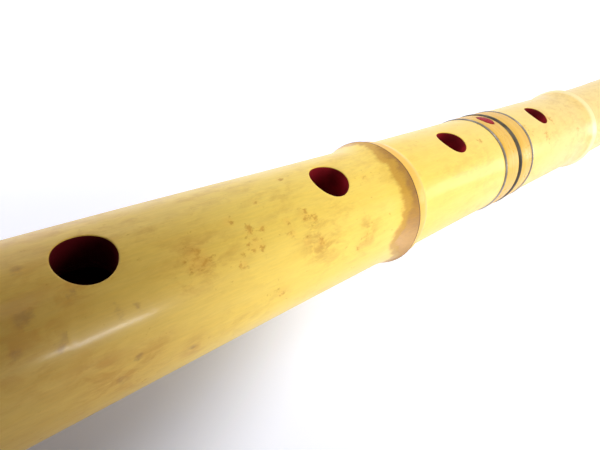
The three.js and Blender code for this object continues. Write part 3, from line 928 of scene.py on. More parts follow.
def turned_piece(culm, name, outline, materials):
    """A closed outline of [place, radius] points turned round the flute's axis"""
    outline = np.array(outline)
    points = culm.points(outline[:, :1], even_turns(RING_COLUMNS), outline[:, 1:]).reshape(-1, 3)
    index = np.arange(len(points)).reshape(len(outline), RING_COLUMNS)
    faces = quads_round(np.vstack([index, index[:1]]))
    return new_piece(name, points, faces.reshape(-1, 4), materials)


def gathered(marks, places, turns, radius):
    """How strongly each point belongs to a mark: a bell of its distance over the mark's radius"""
    strength = np.zeros(len(places))
    for place, turn, reach in marks:
        along = places - place * MM
        across = (np.remainder(turns - math.radians(turn) + math.pi, TURN) - math.pi) * radius
        strength = np.maximum(strength, np.exp(-(along ** 2 + across ** 2) / (reach * MM) ** 2))
    return strength


def scar_reach(culm, nearest, turns):
    """How far a node's scar reaches down its root side: a bell wider on one side of the flute, a soft
    step narrower on the other, turned a little from node to node. Also how strongly painted light makes
    it pale, as a bell round the side turned towards -Y."""
    turned = turns - (nearest - SEEN_NODE) * SCAR_TURN_STEP
    turned = np.remainder(turned + math.pi, TURN) - math.pi
    wide = np.exp(-((turned - SCAR_WIDE_TURN) / SCAR_WIDE_SPREAD) ** 2)
    narrow = soft_step(SCAR_NARROW_TURN - SCAR_WIDE_SPREAD, SCAR_NARROW_TURN, turned)
    sizes = culm.sizes
    # Painted light on the scar, strongest round one turn
    pale = np.exp(-((turned - SCAR_PAINTED_LIGHT_TURN) / SCAR_PAINTED_LIGHT_SPREAD) ** 2)
    return sizes.scar_reach + sizes.scar_widening * wide - sizes.scar_narrowing * narrow, pale


def node_numbers(culm, places, turns):
    """How far every place lies before the next node and behind the last one, cut off at a node's
    range, how strongly the nearest one shows its marks, and how strongly the placed marks show"""
    ahead = culm.node_places - places[:, None]
    before = np.where(ahead >= -SAME_POINT, ahead, NODE_RANGE).min(axis=1)
    behind = np.where(ahead <= SAME_POINT, -ahead, NODE_RANGE).min(axis=1)
    nearest = np.abs(ahead).argmin(axis=1)
    sizes = culm.sizes
    amounts = {
        "scar": sizes.node_scars,
        "crest": sizes.node_crests,
        "collar": sizes.node_collars,
        "shine": sizes.node_painted_shines,
    }
    numbers = {key: np.array(values)[nearest] for key, values in amounts.items()}
    numbers["before_node"] = np.minimum(before, NODE_RANGE)
    numbers["behind_node"] = np.minimum(behind, NODE_RANGE)
    numbers["scar_reach"], numbers["scar_pale"] = scar_reach(culm, nearest, turns)
    numbers["specked"] = gathered(SPECK_CLUSTERS, places, turns, sizes.culm_radius)
    numbers["spotted"] = gathered(SPOTS_AND_PAINTED_SHADE, places, turns, sizes.culm_radius)
    golden = gathered(GOLDEN_PATCHES, places, turns, sizes.culm_radius)
    wide_golden = gathered(WIDE_GOLDEN_PATCHES, places, turns, sizes.culm_radius)
    numbers["golden"] = np.maximum(golden, sizes.wide_gold * wide_golden)
    return numbers


# Finishes

class Nodes:
    """A node tree; every call adds a node and gives back its output"""

    def __init__(self, tree):
        self.tree = tree

    def feed(self, socket, value):
        """Links an output to the socket, or sets a plain value on it"""
        if isinstance(value, bpy.types.NodeSocket):
            self.tree.links.new(value, socket)
        elif isinstance(value, (int, float)):
            socket.default_value = value
        else:
            value = tuple(value)
            socket.default_value = value + (1.0,) if len(value) == 3 and socket.type == "RGBA" else value

    def node(self, kind, inputs, output=0, **settings):
        """A node with settings and inputs; gives back one output"""
        node = self.tree.nodes.new(kind)
        for key, value in settings.items():
            setattr(node, key, value)
        for key, value in inputs.items():
            self.feed(node.inputs[key], value)
        return node.outputs[output]

    def surface(self, kind, shader):
        """Feeds a shader into a new output node"""
        self.feed(self.tree.nodes.new(kind).inputs["Surface"], shader)

    def place(self, stretch=(1, 1, 1), offset=(0, 0, 0)):
        """Object coordinates, stretched and moved"""
        own = self.node("ShaderNodeTexCoord", {}, "Object")
        return self.node("ShaderNodeMapping", {"Vector": own, "Scale": stretch, "Location": offset})

    def noise(self, vector, scale, detail=3, roughness=0.5, distortion=0.0):
        """A noise between 0 and 1"""
        shape = {"Scale": scale, "Detail": detail, "Roughness": roughness, "Distortion": distortion}
        return self.node("ShaderNodeTexNoise", {"Vector": vector, **shape})

    def cells(self, vector, scale):
        """Distance from the middle of the nearest cell"""
        return self.node("ShaderNodeTexVoronoi", {"Vector": vector, "Scale": scale}, "Distance")

    def step(self, value, low, high, start=0.0, end=1.0):
        """A soft step between low and high"""
        inputs = {"Value": value, "From Min": low, "From Max": high, "To Min": start, "To Max": end}
        return self.node("ShaderNodeMapRange", inputs, interpolation_type="SMOOTHSTEP")

    def maths(self, operation, first, second):
        """Two numbers worked into one"""
        return self.node("ShaderNodeMath", {0: first, 1: second}, operation=operation)

    def plus(self, first, second):
        """Sum of two numbers"""
        return self.maths("ADD", first, second)

    def minus(self, first, second):
        """The first number less the second"""
        return self.maths("SUBTRACT", first, second)

    def times(self, first, second):
        """Product of two numbers"""
        return self.maths("MULTIPLY", first, second)

    def larger(self, first, second):
        """The larger of two numbers"""
        return self.maths("MAXIMUM", first, second)

    def mix(self, part, first, second, kind="MIX"):
        """A mix of two colours"""
        node = self.tree.nodes.new("ShaderNodeMix")
        node.data_type = "RGBA"
        node.blend_type = kind
        self.feed(node.inputs[0], part)
        self.feed(node.inputs[6], first)
        self.feed(node.inputs[7], second)
        return node.outputs[2]

    def number(self, name):
        """A number kept at the points"""
        return self.node("ShaderNodeAttribute", {}, "Fac", attribute_name=name)

    def axis(self, vector, which):
        """One coordinate of a vector"""
        return self.node("ShaderNodeSeparateXYZ", {"Vector": vector}, which)

    def bump(self, height):
        """A relief whose height is in millimetres"""
        return self.node("ShaderNodeBump", {"Height": height, "Distance": MM})

    def seen(self):
        """1 for a ray from the camera, from gloss or through glass, and 0 for any other"""
        path = self.tree.nodes.new("ShaderNodeLightPath")
        either = self.larger(path.outputs["Is Camera Ray"], path.outputs["Is Glossy Ray"])
        return self.larger(either, path.outputs["Is Transmission Ray"])


class Finish(Nodes):
    """The nodes of one material with a principled shader"""

    def __init__(self, name):
        self.material = bpy.data.materials.new(name)
        self.material.use_nodes = True
        super().__init__(self.material.node_tree)

    def finish(self, **inputs):
        """Feeds the shader and gives back the material"""
        shader = self.tree.nodes["Principled BSDF"]
        for key, value in inputs.items():
            self.feed(shader.inputs[key.replace("_", " ")], value)
        return self.material


def skin_tone(made, colours, streaks, clouds, mottle):
    """Gold along the middle, paler towards the mouth, and browner and darker towards the root, where the
    darkening is painted shade, with streaks, and with stain where clouds and mottling meet and in the placed
    golden patches"""
    along = made.axis(made.place(), "X")
    tone = made.step(streaks, 0.15, 0.9)
    middle = made.mix(tone, colours.bamboo_gold, colours.bamboo_pale)
    middle = made.mix(made.step(along, *MOUTH_TONE), middle, colours.bamboo_mouth)
    root = made.mix(tone, colours.bamboo_root_and_shade, colours.bamboo_root_pale_and_shade)
    drift = made.times(made.minus(clouds, 0.5), TONE_DRIFT)
    # Painted shade: towards the root the skin darkens as well as browns
    rootward = made.step(made.plus(along, drift), *ROOT_TONE_AND_SHADE, 1.0, 0.0)
    base = made.mix(rootward, middle, root)
    cloudy = made.times(made.step(clouds, 0.42, 0.62), made.step(mottle, 0.4, 0.66))
    strength = made.times(cloudy, made.step(along, *STAIN_FADE, 0.55, 0.25))
    base = made.mix(strength, base, colours.stain)
    golden = made.times(made.number("golden"), made.step(mottle, 0.4, 0.62, 0.2, 0.85))
    return made.mix(golden, base, colours.stain)


def skin_specks(made, colours, base):
    """The placed brown marks, some of them painted shade, and specks that gather in the placed clusters,
    with an orange halo. Gives back the colour and the specks."""
    spot_noise = made.noise(made.place(stretch=(0.6, 1, 1), offset=(0.6, 0.1, 0.3)), 620, 4, 0.65)
    spotted = made.plus(made.number("spotted"), made.times(spot_noise, 1.8))
    # Brown marks, and painted shade on the mouth half's upper far side
    base = made.mix(made.step(spotted, 1.25, 2.0, 0.0, 0.55), base, colours.spot)
    speck_noise = made.noise(made.place(stretch=(0.7, 1, 1)), 900, 4, 0.62)
    specked = made.plus(made.times(made.number("specked"), 0.22), speck_noise)
    specks = made.step(specked, 0.64, 0.8)
    base = made.mix(made.times(specks, 0.75), base, colours.speck)
    halo = made.step(made.number("specked"), 0.2, 1.0, 0.0, 0.3)
    return made.mix(halo, base, colours.collar), specks


def sheath_scar(made, colours, base, ragged_fine):
    """The dry scar before a node: its reach, with a wavering edge, less the distance to the crest,
    gives a ragged fringe and then the scar, blotched, and made pale by painted light on the side turned
    towards -Y. Gives back the colour and the scar's strength."""
    ragged = made.noise(made.place(stretch=(0.5, 1, 1)), 330, 2, 0.5)
    strayed = made.plus(made.times(ragged, SCAR_WAVER), made.times(ragged_fine, SCAR_FINE_WAVER))
    edge = made.plus(made.number("scar_reach"), made.minus(strayed, SCAR_WAVER_MIDDLE))
    into_scar = made.minus(edge, made.number("before_node"))
    scarred = made.number("scar")
    fringe = made.times(made.step(into_scar, *FRINGE_EDGE), scarred)
    scar = made.times(made.step(into_scar, *SCAR_EDGE), scarred)
    blotch = made.noise(made.place(offset=(0.3, 0.3, 0.7)), 260, 3, 0.6)
    tone = made.mix(made.step(ragged_fine, 0.35, 0.75, 0.0, 0.5), colours.scar, colours.scar_fringe)
    tone = made.mix(made.step(blotch, 0.4, 0.65, 0.0, 0.5), tone, colours.scar_fringe)
    # Painted light: the scar made pale on the side turned towards -Y
    tone = made.mix(made.times(made.number("scar_pale"), 0.75), tone, colours.scar_pale)
    base = made.mix(made.times(fringe, 0.85), base, colours.scar_fringe)
    return made.mix(made.times(scar, 0.92), base, tone), scar


def node_crest(made, colours, base):
    """A node's smooth orange collar, its pale ring of painted highlight and its worn dark crest line"""
    before = made.number("before_node")
    behind = made.number("behind_node")
    collar = made.times(made.step(behind, *COLLAR_EDGE, 0.85, 0.0), made.number("collar"))
    base = made.mix(collar, base, colours.collar)
    # Painted highlight: a pale ring on each side of a smooth node's crest
    rising = made.step(before, *PAINTED_SHINE_BEFORE, 1.0, 0.0)
    painted_shine_mask = made.larger(rising, made.step(behind, *PAINTED_SHINE_BEHIND, 1.0, 0.0))
    base = made.mix(made.times(painted_shine_mask, made.number("shine")), base, colours.shine)
    rising = made.step(before, *CREST_BEFORE, 1.0, 0.0)
    crest = made.larger(rising, made.step(behind, *CREST_BEHIND, 1.0, 0.0))
    worn = made.step(made.noise(made.place(), 300, 3), 0.3, 0.6, 0.5, 1.0)
    worn = made.times(worn, made.number("crest"))
    return made.mix(made.times(crest, worn), base, colours.crest)


def bamboo_skin(name, colours):
    """Polished bamboo: gold that browns towards the root and darkens there in painted shade, long fibres,
    clouds, specks, and at every node a ragged dry scar, a dark crest and a smooth orange collar"""
    made = Finish(name)
    streaks = made.noise(made.place(stretch=(0.04, 1, 1)), 420, 4, 0.6)
    fine = made.noise(made.place(stretch=(0.12, 1, 1)), 2600, 3, 0.6)
    clouds = made.noise(made.place(stretch=(0.6, 1, 1)), 75, 5, 0.62, 0.5)
    mottle = made.noise(made.place(stretch=(0.5, 1, 1), offset=(0.2, 0.5, 0.1)), 380, 5, 0.65, 0.4)
    ragged_fine = made.noise(made.place(stretch=(0.3, 1, 1)), 1500, 4, 0.7)
    base = skin_tone(made, colours, streaks, clouds, mottle)
    base, specks = skin_specks(made, colours, base)
    base, scar = sheath_scar(made, colours, base, ragged_fine)
    base = node_crest(made, colours, base)
    grain = made.step(fine, 0.25, 0.75, 0.96, 1.04)
    grey = made.node("ShaderNodeCombineColor", {0: grain, 1: grain, 2: grain})
    base = made.mix(1.0, base, grey, "MULTIPLY")
    dry = made.larger(made.times(scar, 0.3), made.times(specks, 0.12))
    relief = made.plus(made.times(fine, 0.006), made.times(streaks, 0.008))
    relief = made.plus(relief, made.times(made.times(scar, ragged_fine), 0.12))
    relief = made.minus(relief, made.times(specks, 0.02))
    return made.finish(
        Base_Color=base,
        Roughness=made.plus(dry, made.step(clouds, 0.3, 0.7, 0.38, 0.46)),
        Normal=made.bump(relief),
        Specular_IOR_Level=0.3,
        Coat_Weight=0.25,
        Coat_Roughness=0.17,
        Sheen_Weight=0.08,
        Sheen_Roughness=0.4,
    )


def cut_bamboo(name, colours):
    """Cut bamboo: dots where its fibres end, drawn out into streaks along the flute"""
    made = Finish(name)
    dots = made.step(made.cells(made.place(stretch=(0.02, 1, 1)), 1300), 0.14, 0.34, 1.0, 0.0)
    patches = made.noise(made.place(stretch=(0.3, 1, 1)), 160, 3)
    tone = made.mix(made.step(patches, 0.3, 0.7, 0.0, 0.4), colours.cut_wood, colours.bamboo_pale)
    return made.finish(
        Base_Color=made.mix(made.times(dots, 0.75), tone, colours.cut_fibres),
        Roughness=made.step(patches, 0.3, 0.7, 0.38, 0.5),
        Normal=made.bump(made.times(dots, -0.03)),
        Coat_Weight=0.15,
    )


def stub_wood(name, colours):
    """Cut rootlets: a pale core, a dark bark ring, pores between them"""
    made = Finish(name)
    out = made.number("stub_share")
    pores = made.step(made.cells(made.place(), 2600), 0.15, 0.4, 1.0, 0.0)
    blotch = made.noise(made.place(), 500, 3)
    core = made.mix(made.step(blotch, 0.3, 0.7), colours.cut_wood, colours.bamboo_root_and_shade)
    base = made.mix(made.times(pores, 0.6), core, colours.cut_fibres)
    bark = made.step(out, 0.66, 0.84)
    base = made.mix(made.times(bark, 0.85), base, colours.cut_fibres)
    heart = made.step(out, 0.1, 0.24, 1.0, 0.0)
    return made.finish(
        Base_Color=made.mix(made.times(heart, 0.7), base, colours.crest),
        Roughness=made.step(blotch, 0.3, 0.7, 0.36, 0.5),
        Normal=made.bump(made.times(pores, -0.04)),
        Coat_Weight=0.15,
    )


def lacquer(name, tint, grain, roughness, coat):
    """Brushed lacquer: slow waves of its coats, fine grains of dust, a glossy coat, and painted shade that
    darkens it in the root part"""
    made = Finish(name)
    waves = made.noise(made.place(stretch=(0.4, 1, 1)), 260, 3)
    dust = made.noise(made.place(), 2400, 2)
    base = made.mix(made.step(waves, 0.35, 0.68), tint, [part * 0.55 for part in tint])
    # Painted shade: the lacquer darkens towards the root
    rootward = made.step(made.axis(made.place(), "X"), *LACQUER_SHADE, 0.96, 0.0)
    return made.finish(
        Base_Color=made.mix(rootward, base, [part * 0.2 for part in tint]),
        Roughness=made.step(dust, 0.3, 0.7, roughness, roughness + 0.12),
        Normal=made.bump(made.plus(made.times(waves, grain), made.times(dust, grain * 0.2))),
        Specular_IOR_Level=0.3,
        Coat_Weight=coat,
        Coat_Roughness=0.08,
    )


def wound_amber(name, colours):
    """Strands wound side by side under clear lacquer: fine rings of changing tone, soft long clouds"""
    made = Finish(name)
    strands = made.noise(made.place(stretch=(1, 0.02, 0.02)), 2300, 3, 0.65)
    wide = made.noise(made.place(stretch=(1, 0.05, 0.05)), 520, 3, 0.6)
    clouds = made.noise(made.place(), 130, 3)
    base = made.mix(made.step(strands, 0.35, 0.68), colours.binding_amber, colours.binding_pale)
    base = made.mix(made.times(made.step(wide, 0.5, 0.7), 0.35), base, colours.stain)
    return made.finish(
        Base_Color=made.mix(made.times(made.step(clouds, 0.5, 0.75), 0.35), base, colours.binding_pale),
        Roughness=made.step(clouds, 0.3, 0.7, 0.26, 0.36),
        Normal=made.bump(made.plus(made.times(strands, 0.02), made.times(wide, 0.03))),
        Specular_IOR_Level=0.3,
        Coat_Weight=0.12,
        Coat_Roughness=0.09,
    )


def ring_metal(name, tint, tarnish, amount, roughness):
    """Drawn metal: fine lines round it, and tarnish in patches"""
    made = Finish(name)
    lines = made.noise(made.place(stretch=(1, 0.03, 0.03)), 5200, 2)
    patches = made.noise(made.place(), 210, 4, 0.6)
    return made.finish(
        Base_Color=made.mix(made.times(made.step(patches, 0.35, 0.65), amount), tint, tarnish),
        Roughness=made.step(patches, 0.3, 0.7, roughness, roughness + 0.16),
        Metallic=1.0,
        Normal=made.bump(made.times(lines, 0.01)),
    )


def oval_lacquer(name, colours):
    """Red lacquer over a fine ground: soft unevenness, darker towards its rim"""
    made = Finish(name)
    rim = made.step(made.number("seal_share"), 0.72, 1.0)
    waves = made.noise(made.place(), 900, 3)
    darker = [part * 0.4 for part in colours.seal_red]
    base = made.mix(made.times(rim, 0.6), colours.seal_red, darker)
    return made.finish(
        Base_Color=made.mix(made.times(made.step(waves, 0.4, 0.7), 0.4), base, darker),
        Roughness=made.step(waves, 0.3, 0.7, 0.24, 0.36),
        Normal=made.bump(made.times(waves, 0.05)),
        Specular_IOR_Level=0.03,
    )


def black_horn(name, colours):
    """Polished buffalo horn: near black with long brown streaks"""
    made = Finish(name)
    streaks = made.noise(made.place(stretch=(0.2, 1, 0.2)), 1100, 4, 0.6)
    return made.finish(
        Base_Color=made.mix(made.step(streaks, 0.5, 0.75), colours.horn_black, colours.crest),
        Roughness=made.step(streaks, 0.3, 0.7, 0.2, 0.32),
        Normal=made.bump(made.times(streaks, 0.01)),
    )


def material(name, maker, *arguments):
    """The material of that name, made on its first use"""
    found = bpy.data.materials.get(name)
    return found if found is not None else maker(name, *arguments)


def red_lacquer(colours):
    """Lacquer of the bore and the hole walls"""
    return material("red_bore_lacquer", lacquer, colours.bore_red, 0.06, 0.32, 0.08)


def black_lacquer(colours):
    """Lacquer of the tenon and its socket"""
    return material("black_joint_lacquer", lacquer, colours.hard_black, 0.04, 0.2, 0.3)


# Pieces

def finger_holes(culm, start, end, rim):
    """The holes between two places, the finger holes on top and the thumb hole below"""
    bore = culm.bore
    facings = [(place, 0.0) for place in FINGER_HOLE_PLACES] + [(THUMB_HOLE_PLACE, math.pi)]
    return [
        Hole(place, facing, bore.hole_radius, bore.hole_radius, rim, bore.hole_window, HOLE_SPAN)
        for place, facing in facings
        if start < place < end
    ]


def rounded_edge(culm, turn, arc, corner, size, away):
    """Places and radii of a rounded edge of the skin: its size times one less the sine of the arc
    away from the corner, and times one less the cosine below the surface"""
    places = corner + away * size * (1 - np.sin(arc))
    return places, culm.radius(places, turn) - size * (1 - np.cos(arc))


def stub_kinds(sizes):
    """Ring number, turn, stray, width and height of every cut rootlet, kind by kind and ring by ring"""
    rows = [
        (ring, (number + gap_share) * TURN / count + math.pi, stray, width, height)
        for gap_share, stray, width, height in STUB_KINDS
        for ring, count in enumerate(STUB_COUNTS)
        for number in range(count)
    ]
    rings, turns, strays, widths, heights = (np.array(parts) for parts in zip(*rows))
    return rings, turns, strays, widths * sizes.stub_radius, heights * sizes.stub_height


def stubs(culm):
    """Cut rootlets in rings behind the first nodes: low domes on short rods, large ones evenly spaced
    and two small ones in every gap, each an oval of its own. Returns points, places, faces and the
    share of the radius that each point lies at."""
    sizes = culm.sizes
    generator = np.random.default_rng(STUB_SEED)
    ring_numbers, starts, strays, widths, rises = stub_kinds(sizes)
    total = len(ring_numbers)
    places = culm.node_places[ring_numbers] + sizes.stub_offset + generator.uniform(-1, 1, total) * strays
    turns = starts + generator.uniform(-STUB_STRAY_TURN, STUB_STRAY_TURN, total)
    radii = widths * generator.uniform(*STUB_WIDTHS, total)
    rises = rises * generator.uniform(*STUB_RISES, total)
    longer = generator.uniform(*STUB_OVALS, total)[:, None, None]
    sides = even_turns(STUB_COLUMNS)
    heights = rises[:, None] * STUB_HEIGHTS
    heights[:, 0] = -sizes.stub_sink
    wobble = 1 + STUB_WOBBLE * np.sin(2 * sides + generator.uniform(0, TURN, (total, 1)))
    reach = radii[:, None, None] * STUB_SHARES[None, :, None] * wobble[:, None, :]
    along = reach * np.cos(sides) * longer
    across = reach * np.sin(sides)
    out = culm.radius(places, turns)[:, None, None] + heights[:, :, None]
    sine, cosine = np.sin(turns)[:, None, None], np.cos(turns)[:, None, None]
    x = places[:, None, None] + along
    y = out * sine + across * cosine
    z = out * cosine - across * sine
    up = AXIS_HEIGHT + culm.rise(places)[:, None, None] + z
    points = np.stack(np.broadcast_arrays(ROOT_FACE_X + x, y, up), axis=-1)
    index = np.arange(x.size).reshape(x.shape)
    ahead = np.roll(index, -1, axis=2)
    quads = np.stack([index[:, :-1], ahead[:, :-1], ahead[:, 1:], index[:, 1:]], axis=-1).reshape(-1, 4)
    faces = quads.tolist() + index[:, -1, :].tolist() + index[:, 0, ::-1].tolist()
    stub_shares = np.broadcast_to(STUB_SHARES[None, :, None], index.shape).ravel()
    return points.reshape(-1, 3), x.ravel(), faces, stub_shares


def culm_piece(culm, name, bands, holes, colours, rootlets=None):
    """A half of the bamboo from its bands, with its numbers and finishes"""
    turns = even_turns(COLUMNS)
    points, places, faces, finishes = wall_mesh(culm, turns, bands, holes, culm.radius, culm.wall_radius)
    stub_shares = np.ones(len(points))
    faces = faces.tolist()
    finishes = finishes.tolist()
    materials = [
        material("bamboo_skin", bamboo_skin, colours),
        material("cut_bamboo", cut_bamboo, colours),
        red_lacquer(colours),
    ]
    if rootlets is not None:
        more_points, more_places, more_faces, more_shares = rootlets
        faces += [[corner + len(points) for corner in face] for face in more_faces]
        finishes += [len(materials)] * len(more_faces)
        materials.append(material("rootlet_wood", stub_wood, colours))
        points = np.vstack([points, more_points])
        places = np.concatenate([places, more_places])
        stub_shares = np.concatenate([stub_shares, more_shares])
    turns = np.arctan2(points[:, 1], points[:, 2] - AXIS_HEIGHT - culm.rise(places))
    numbers = node_numbers(culm, places, turns)
    numbers["stub_share"] = stub_shares
    return new_piece(name, points, faces, materials, finishes, numbers, merged=True)


def build_lower_culm(scene):
    """Root half: rounded rim, skin with nodes and holes, stepped seats, socket, lacquered bore"""
    culm = Culm(scene)
    joint = culm.joint
    turn = even_turns(COLUMNS)
    rim = culm.sizes.root_edge_round
    edge = joint.shoulder_round
    end = node_place("lower_seam_ring", 1)
    ring_seat = node_place("lower_seam_ring", 0) - joint.seat_gap
    shoulder = node_place("lower_wire_ring", 0) - joint.seat_gap
    socket_floor = node_place("socket_lining", 0)
    socket_radius = node_radius("socket_lining") + culm.bore.lining_gap
    holes = finger_holes(culm, 0, end, culm.bore.hole_rim)

    rim_places, rim_radii = rounded_edge(culm, turn, arc_turns(8)[::-1], 0, rim, 1)
    skin = spread_places(rim, shoulder - edge, ROOT_SKIN_STEP, holes, crest_places(culm, 0, end))[1:, None]
    edge_places, edge_radii = rounded_edge(culm, turn, arc_turns(4)[1:], shoulder, edge, -1)
    seats = np.array(
        [
            [shoulder, joint.seat_radius],
            [ring_seat, joint.seat_radius],
            [ring_seat, joint.spigot_radius],
            [end, joint.spigot_radius],
            [end, socket_radius],
            [socket_floor, socket_radius],
        ]
    )
    bore = spread_places(0, socket_floor, BORE_STEP, holes)[::-1, None]
    face_shares = np.linspace(0, 1, 8)[1:-1, None]
    face_inner = culm.wall_radius(0)
    face_radii = face_inner + (culm.radius(0, turn) - rim - face_inner) * face_shares
    bands = [
        band(rim_places, turn, rim_radii, SKIN, END),
        band(skin, turn, culm.radius(skin, turn), SKIN, OUTSIDE),
        band(edge_places, turn, edge_radii, SKIN, END),
        band(seats[:, :1], turn, seats[:, 1:], LACQUER, END),
        band(bore, turn, culm.wall_radius(bore), LACQUER, INSIDE),
        band(np.zeros_like(face_shares), turn, face_radii, CUT, END),
    ]
    piece = culm_piece(culm, "lower_bamboo", bands, holes, scene.flute_colours, stubs(culm))
    settle(piece, "root_half", "bamboo", "lower_culm")


def build_upper_culm(scene):
    """Mouth half: stepped seats, skin with nodes and holes, blowing cut and chin bevel, bore"""
    culm = Culm(scene)
    joint = culm.joint
    turn = even_turns(COLUMNS)
    edge = joint.shoulder_round
    start = node_place("upper_seam_ring", 0)
    ring_seat = node_place("upper_seam_ring", 1) + joint.seat_gap
    shoulder = node_place("upper_wire_ring", 1) + joint.seat_gap
    tenon_end = node_place("tenon_sleeve", 1)
    tenon_radius = node_radius("tenon_sleeve") + culm.bore.lining_gap
    holes = finger_holes(culm, start, culm.length, culm.bore.hole_rim)

    cut_foot = culm.bore.blowing_edge_height
    face_height = culm.plain_radius(culm.length) * np.cos(turn)
    oblique = soft_step(cut_foot - CUT_RIM_BELOW, cut_foot + CUT_RIM_ABOVE, face_height)
    rim = culm.sizes.mouth_edge_round * (1 - oblique) + CUT_RIM * oblique
    outer_end = culm.mouth_end(turn, lambda place: culm.radius(place, turn) - rim)
    inner_end = culm.mouth_end(turn, culm.wall_radius)

    edge_places, edge_radii = rounded_edge(culm, turn, arc_turns(4)[:-1][::-1], shoulder, edge, 1)
    seats = np.array(
        [
            [start, joint.spigot_radius],
            [ring_seat, joint.spigot_radius],
            [ring_seat, joint.seat_radius],
            [shoulder, joint.seat_radius],
        ]
    )
    near_mouth = np.arange(culm.length - CUT_REACH, culm.length, CUT_STEP)
    nodes = crest_places(culm, start, culm.length) + [near_mouth]
    skin = spread_places(shoulder + edge, culm.length, MOUTH_SKIN_STEP, holes, nodes)[1:, None]
    skin = np.minimum(skin, outer_end - rim)
    rim_places, rim_radii = rounded_edge(culm, turn, arc_turns(6)[1:], outer_end, rim, -1)
    face_shares = np.linspace(1, 0, 9)[1:-1, None]
    face_outer = culm.radius(outer_end, turn) - rim
    face_inner = culm.wall_radius(inner_end)
    face_radii = face_inner + (face_outer - face_inner) * face_shares
    face_places = culm.end_at(face_radii * np.cos(turn) + culm.rise(outer_end))
    bore = spread_places(tenon_end, culm.length, BORE_STEP, holes, [near_mouth])[::-1, None]
    bore = np.minimum(bore, inner_end)
    tenon_seat = np.array([[tenon_end, tenon_radius], [start, tenon_radius]])
    bands = [
        band(seats[:, :1], turn, seats[:, 1:], LACQUER, END),
        band(edge_places, turn, edge_radii, SKIN, END),
        band(skin, turn, culm.radius(skin, turn), SKIN, OUTSIDE),
        band(rim_places, turn, rim_radii, SKIN, END),
        band(face_places, turn, face_radii, CUT, END),
        band(bore, turn, culm.wall_radius(bore), LACQUER, INSIDE),
        band(tenon_seat[:, :1], turn, tenon_seat[:, 1:], CUT, END),
    ]
    piece = culm_piece(culm, "upper_bamboo", bands, holes, scene.flute_colours)
    settle(piece, "mouth_half", "bamboo", "upper_culm")


def build_linings(scene):
    """The lacquered linings of the bore: tubes with the holes, the upper one ended by the mouth's cuts"""
    culm = Culm(scene)
    bore = culm.bore
    turn = even_turns(COLUMNS)
    red = red_lacquer(scene.flute_colours)

    outside, inside = culm.lining_radius, culm.bore_radius

    def lining(name, node, body, ends):
        """A tube from a node's start to its outer and inner ends"""
        start, end = node_place(node, 0), node_place(node, 1)
        holes = finger_holes(culm, start, end, LINING_HOLE_RIM)
        near_end = np.arange(end - LINING_CUT_REACH, end, LINING_CUT_STEP)
        places = spread_places(start, end, LINING_STEP, holes, [near_end])[:, None]
        outer_places, inner_places = (np.minimum(places, stop) for stop in ends)
        bands = [
            band(outer_places, turn, outside(outer_places), LACQUER, OUTSIDE),
            band(inner_places[::-1], turn, inside(inner_places[::-1]), LACQUER, INSIDE),
        ]
        points, places, faces, _ = wall_mesh(culm, turn, bands, holes, outside, inside)
        settle(new_piece(name, points, faces, [red], merged=True), body, "bore_lacquer", node)

    def upper_end(wall):
        """Ends behind the end face, at the blowing cut, and behind the insert where that lies"""
        stop = np.minimum(culm.mouth_end(turn, wall), culm.length - bore.lining_setback)
        behind_insert = culm.length - bore.insert_reach * math.cos(bore.cut_angle)
        across = wall(culm.length) * np.sin(turn)
        covered = (np.abs(across) < bore.insert_edge_width / 2) & (np.cos(turn) > 0)
        return np.where(covered, np.minimum(stop, behind_insert), stop)

    lower_end = node_place("lower_bore_lining", 1)
    lining("lower_lining", "lower_bore_lining", "root_half", (lower_end, lower_end))
    lining("upper_lining", "upper_bore_lining", "mouth_half", (upper_end(outside), upper_end(inside)))


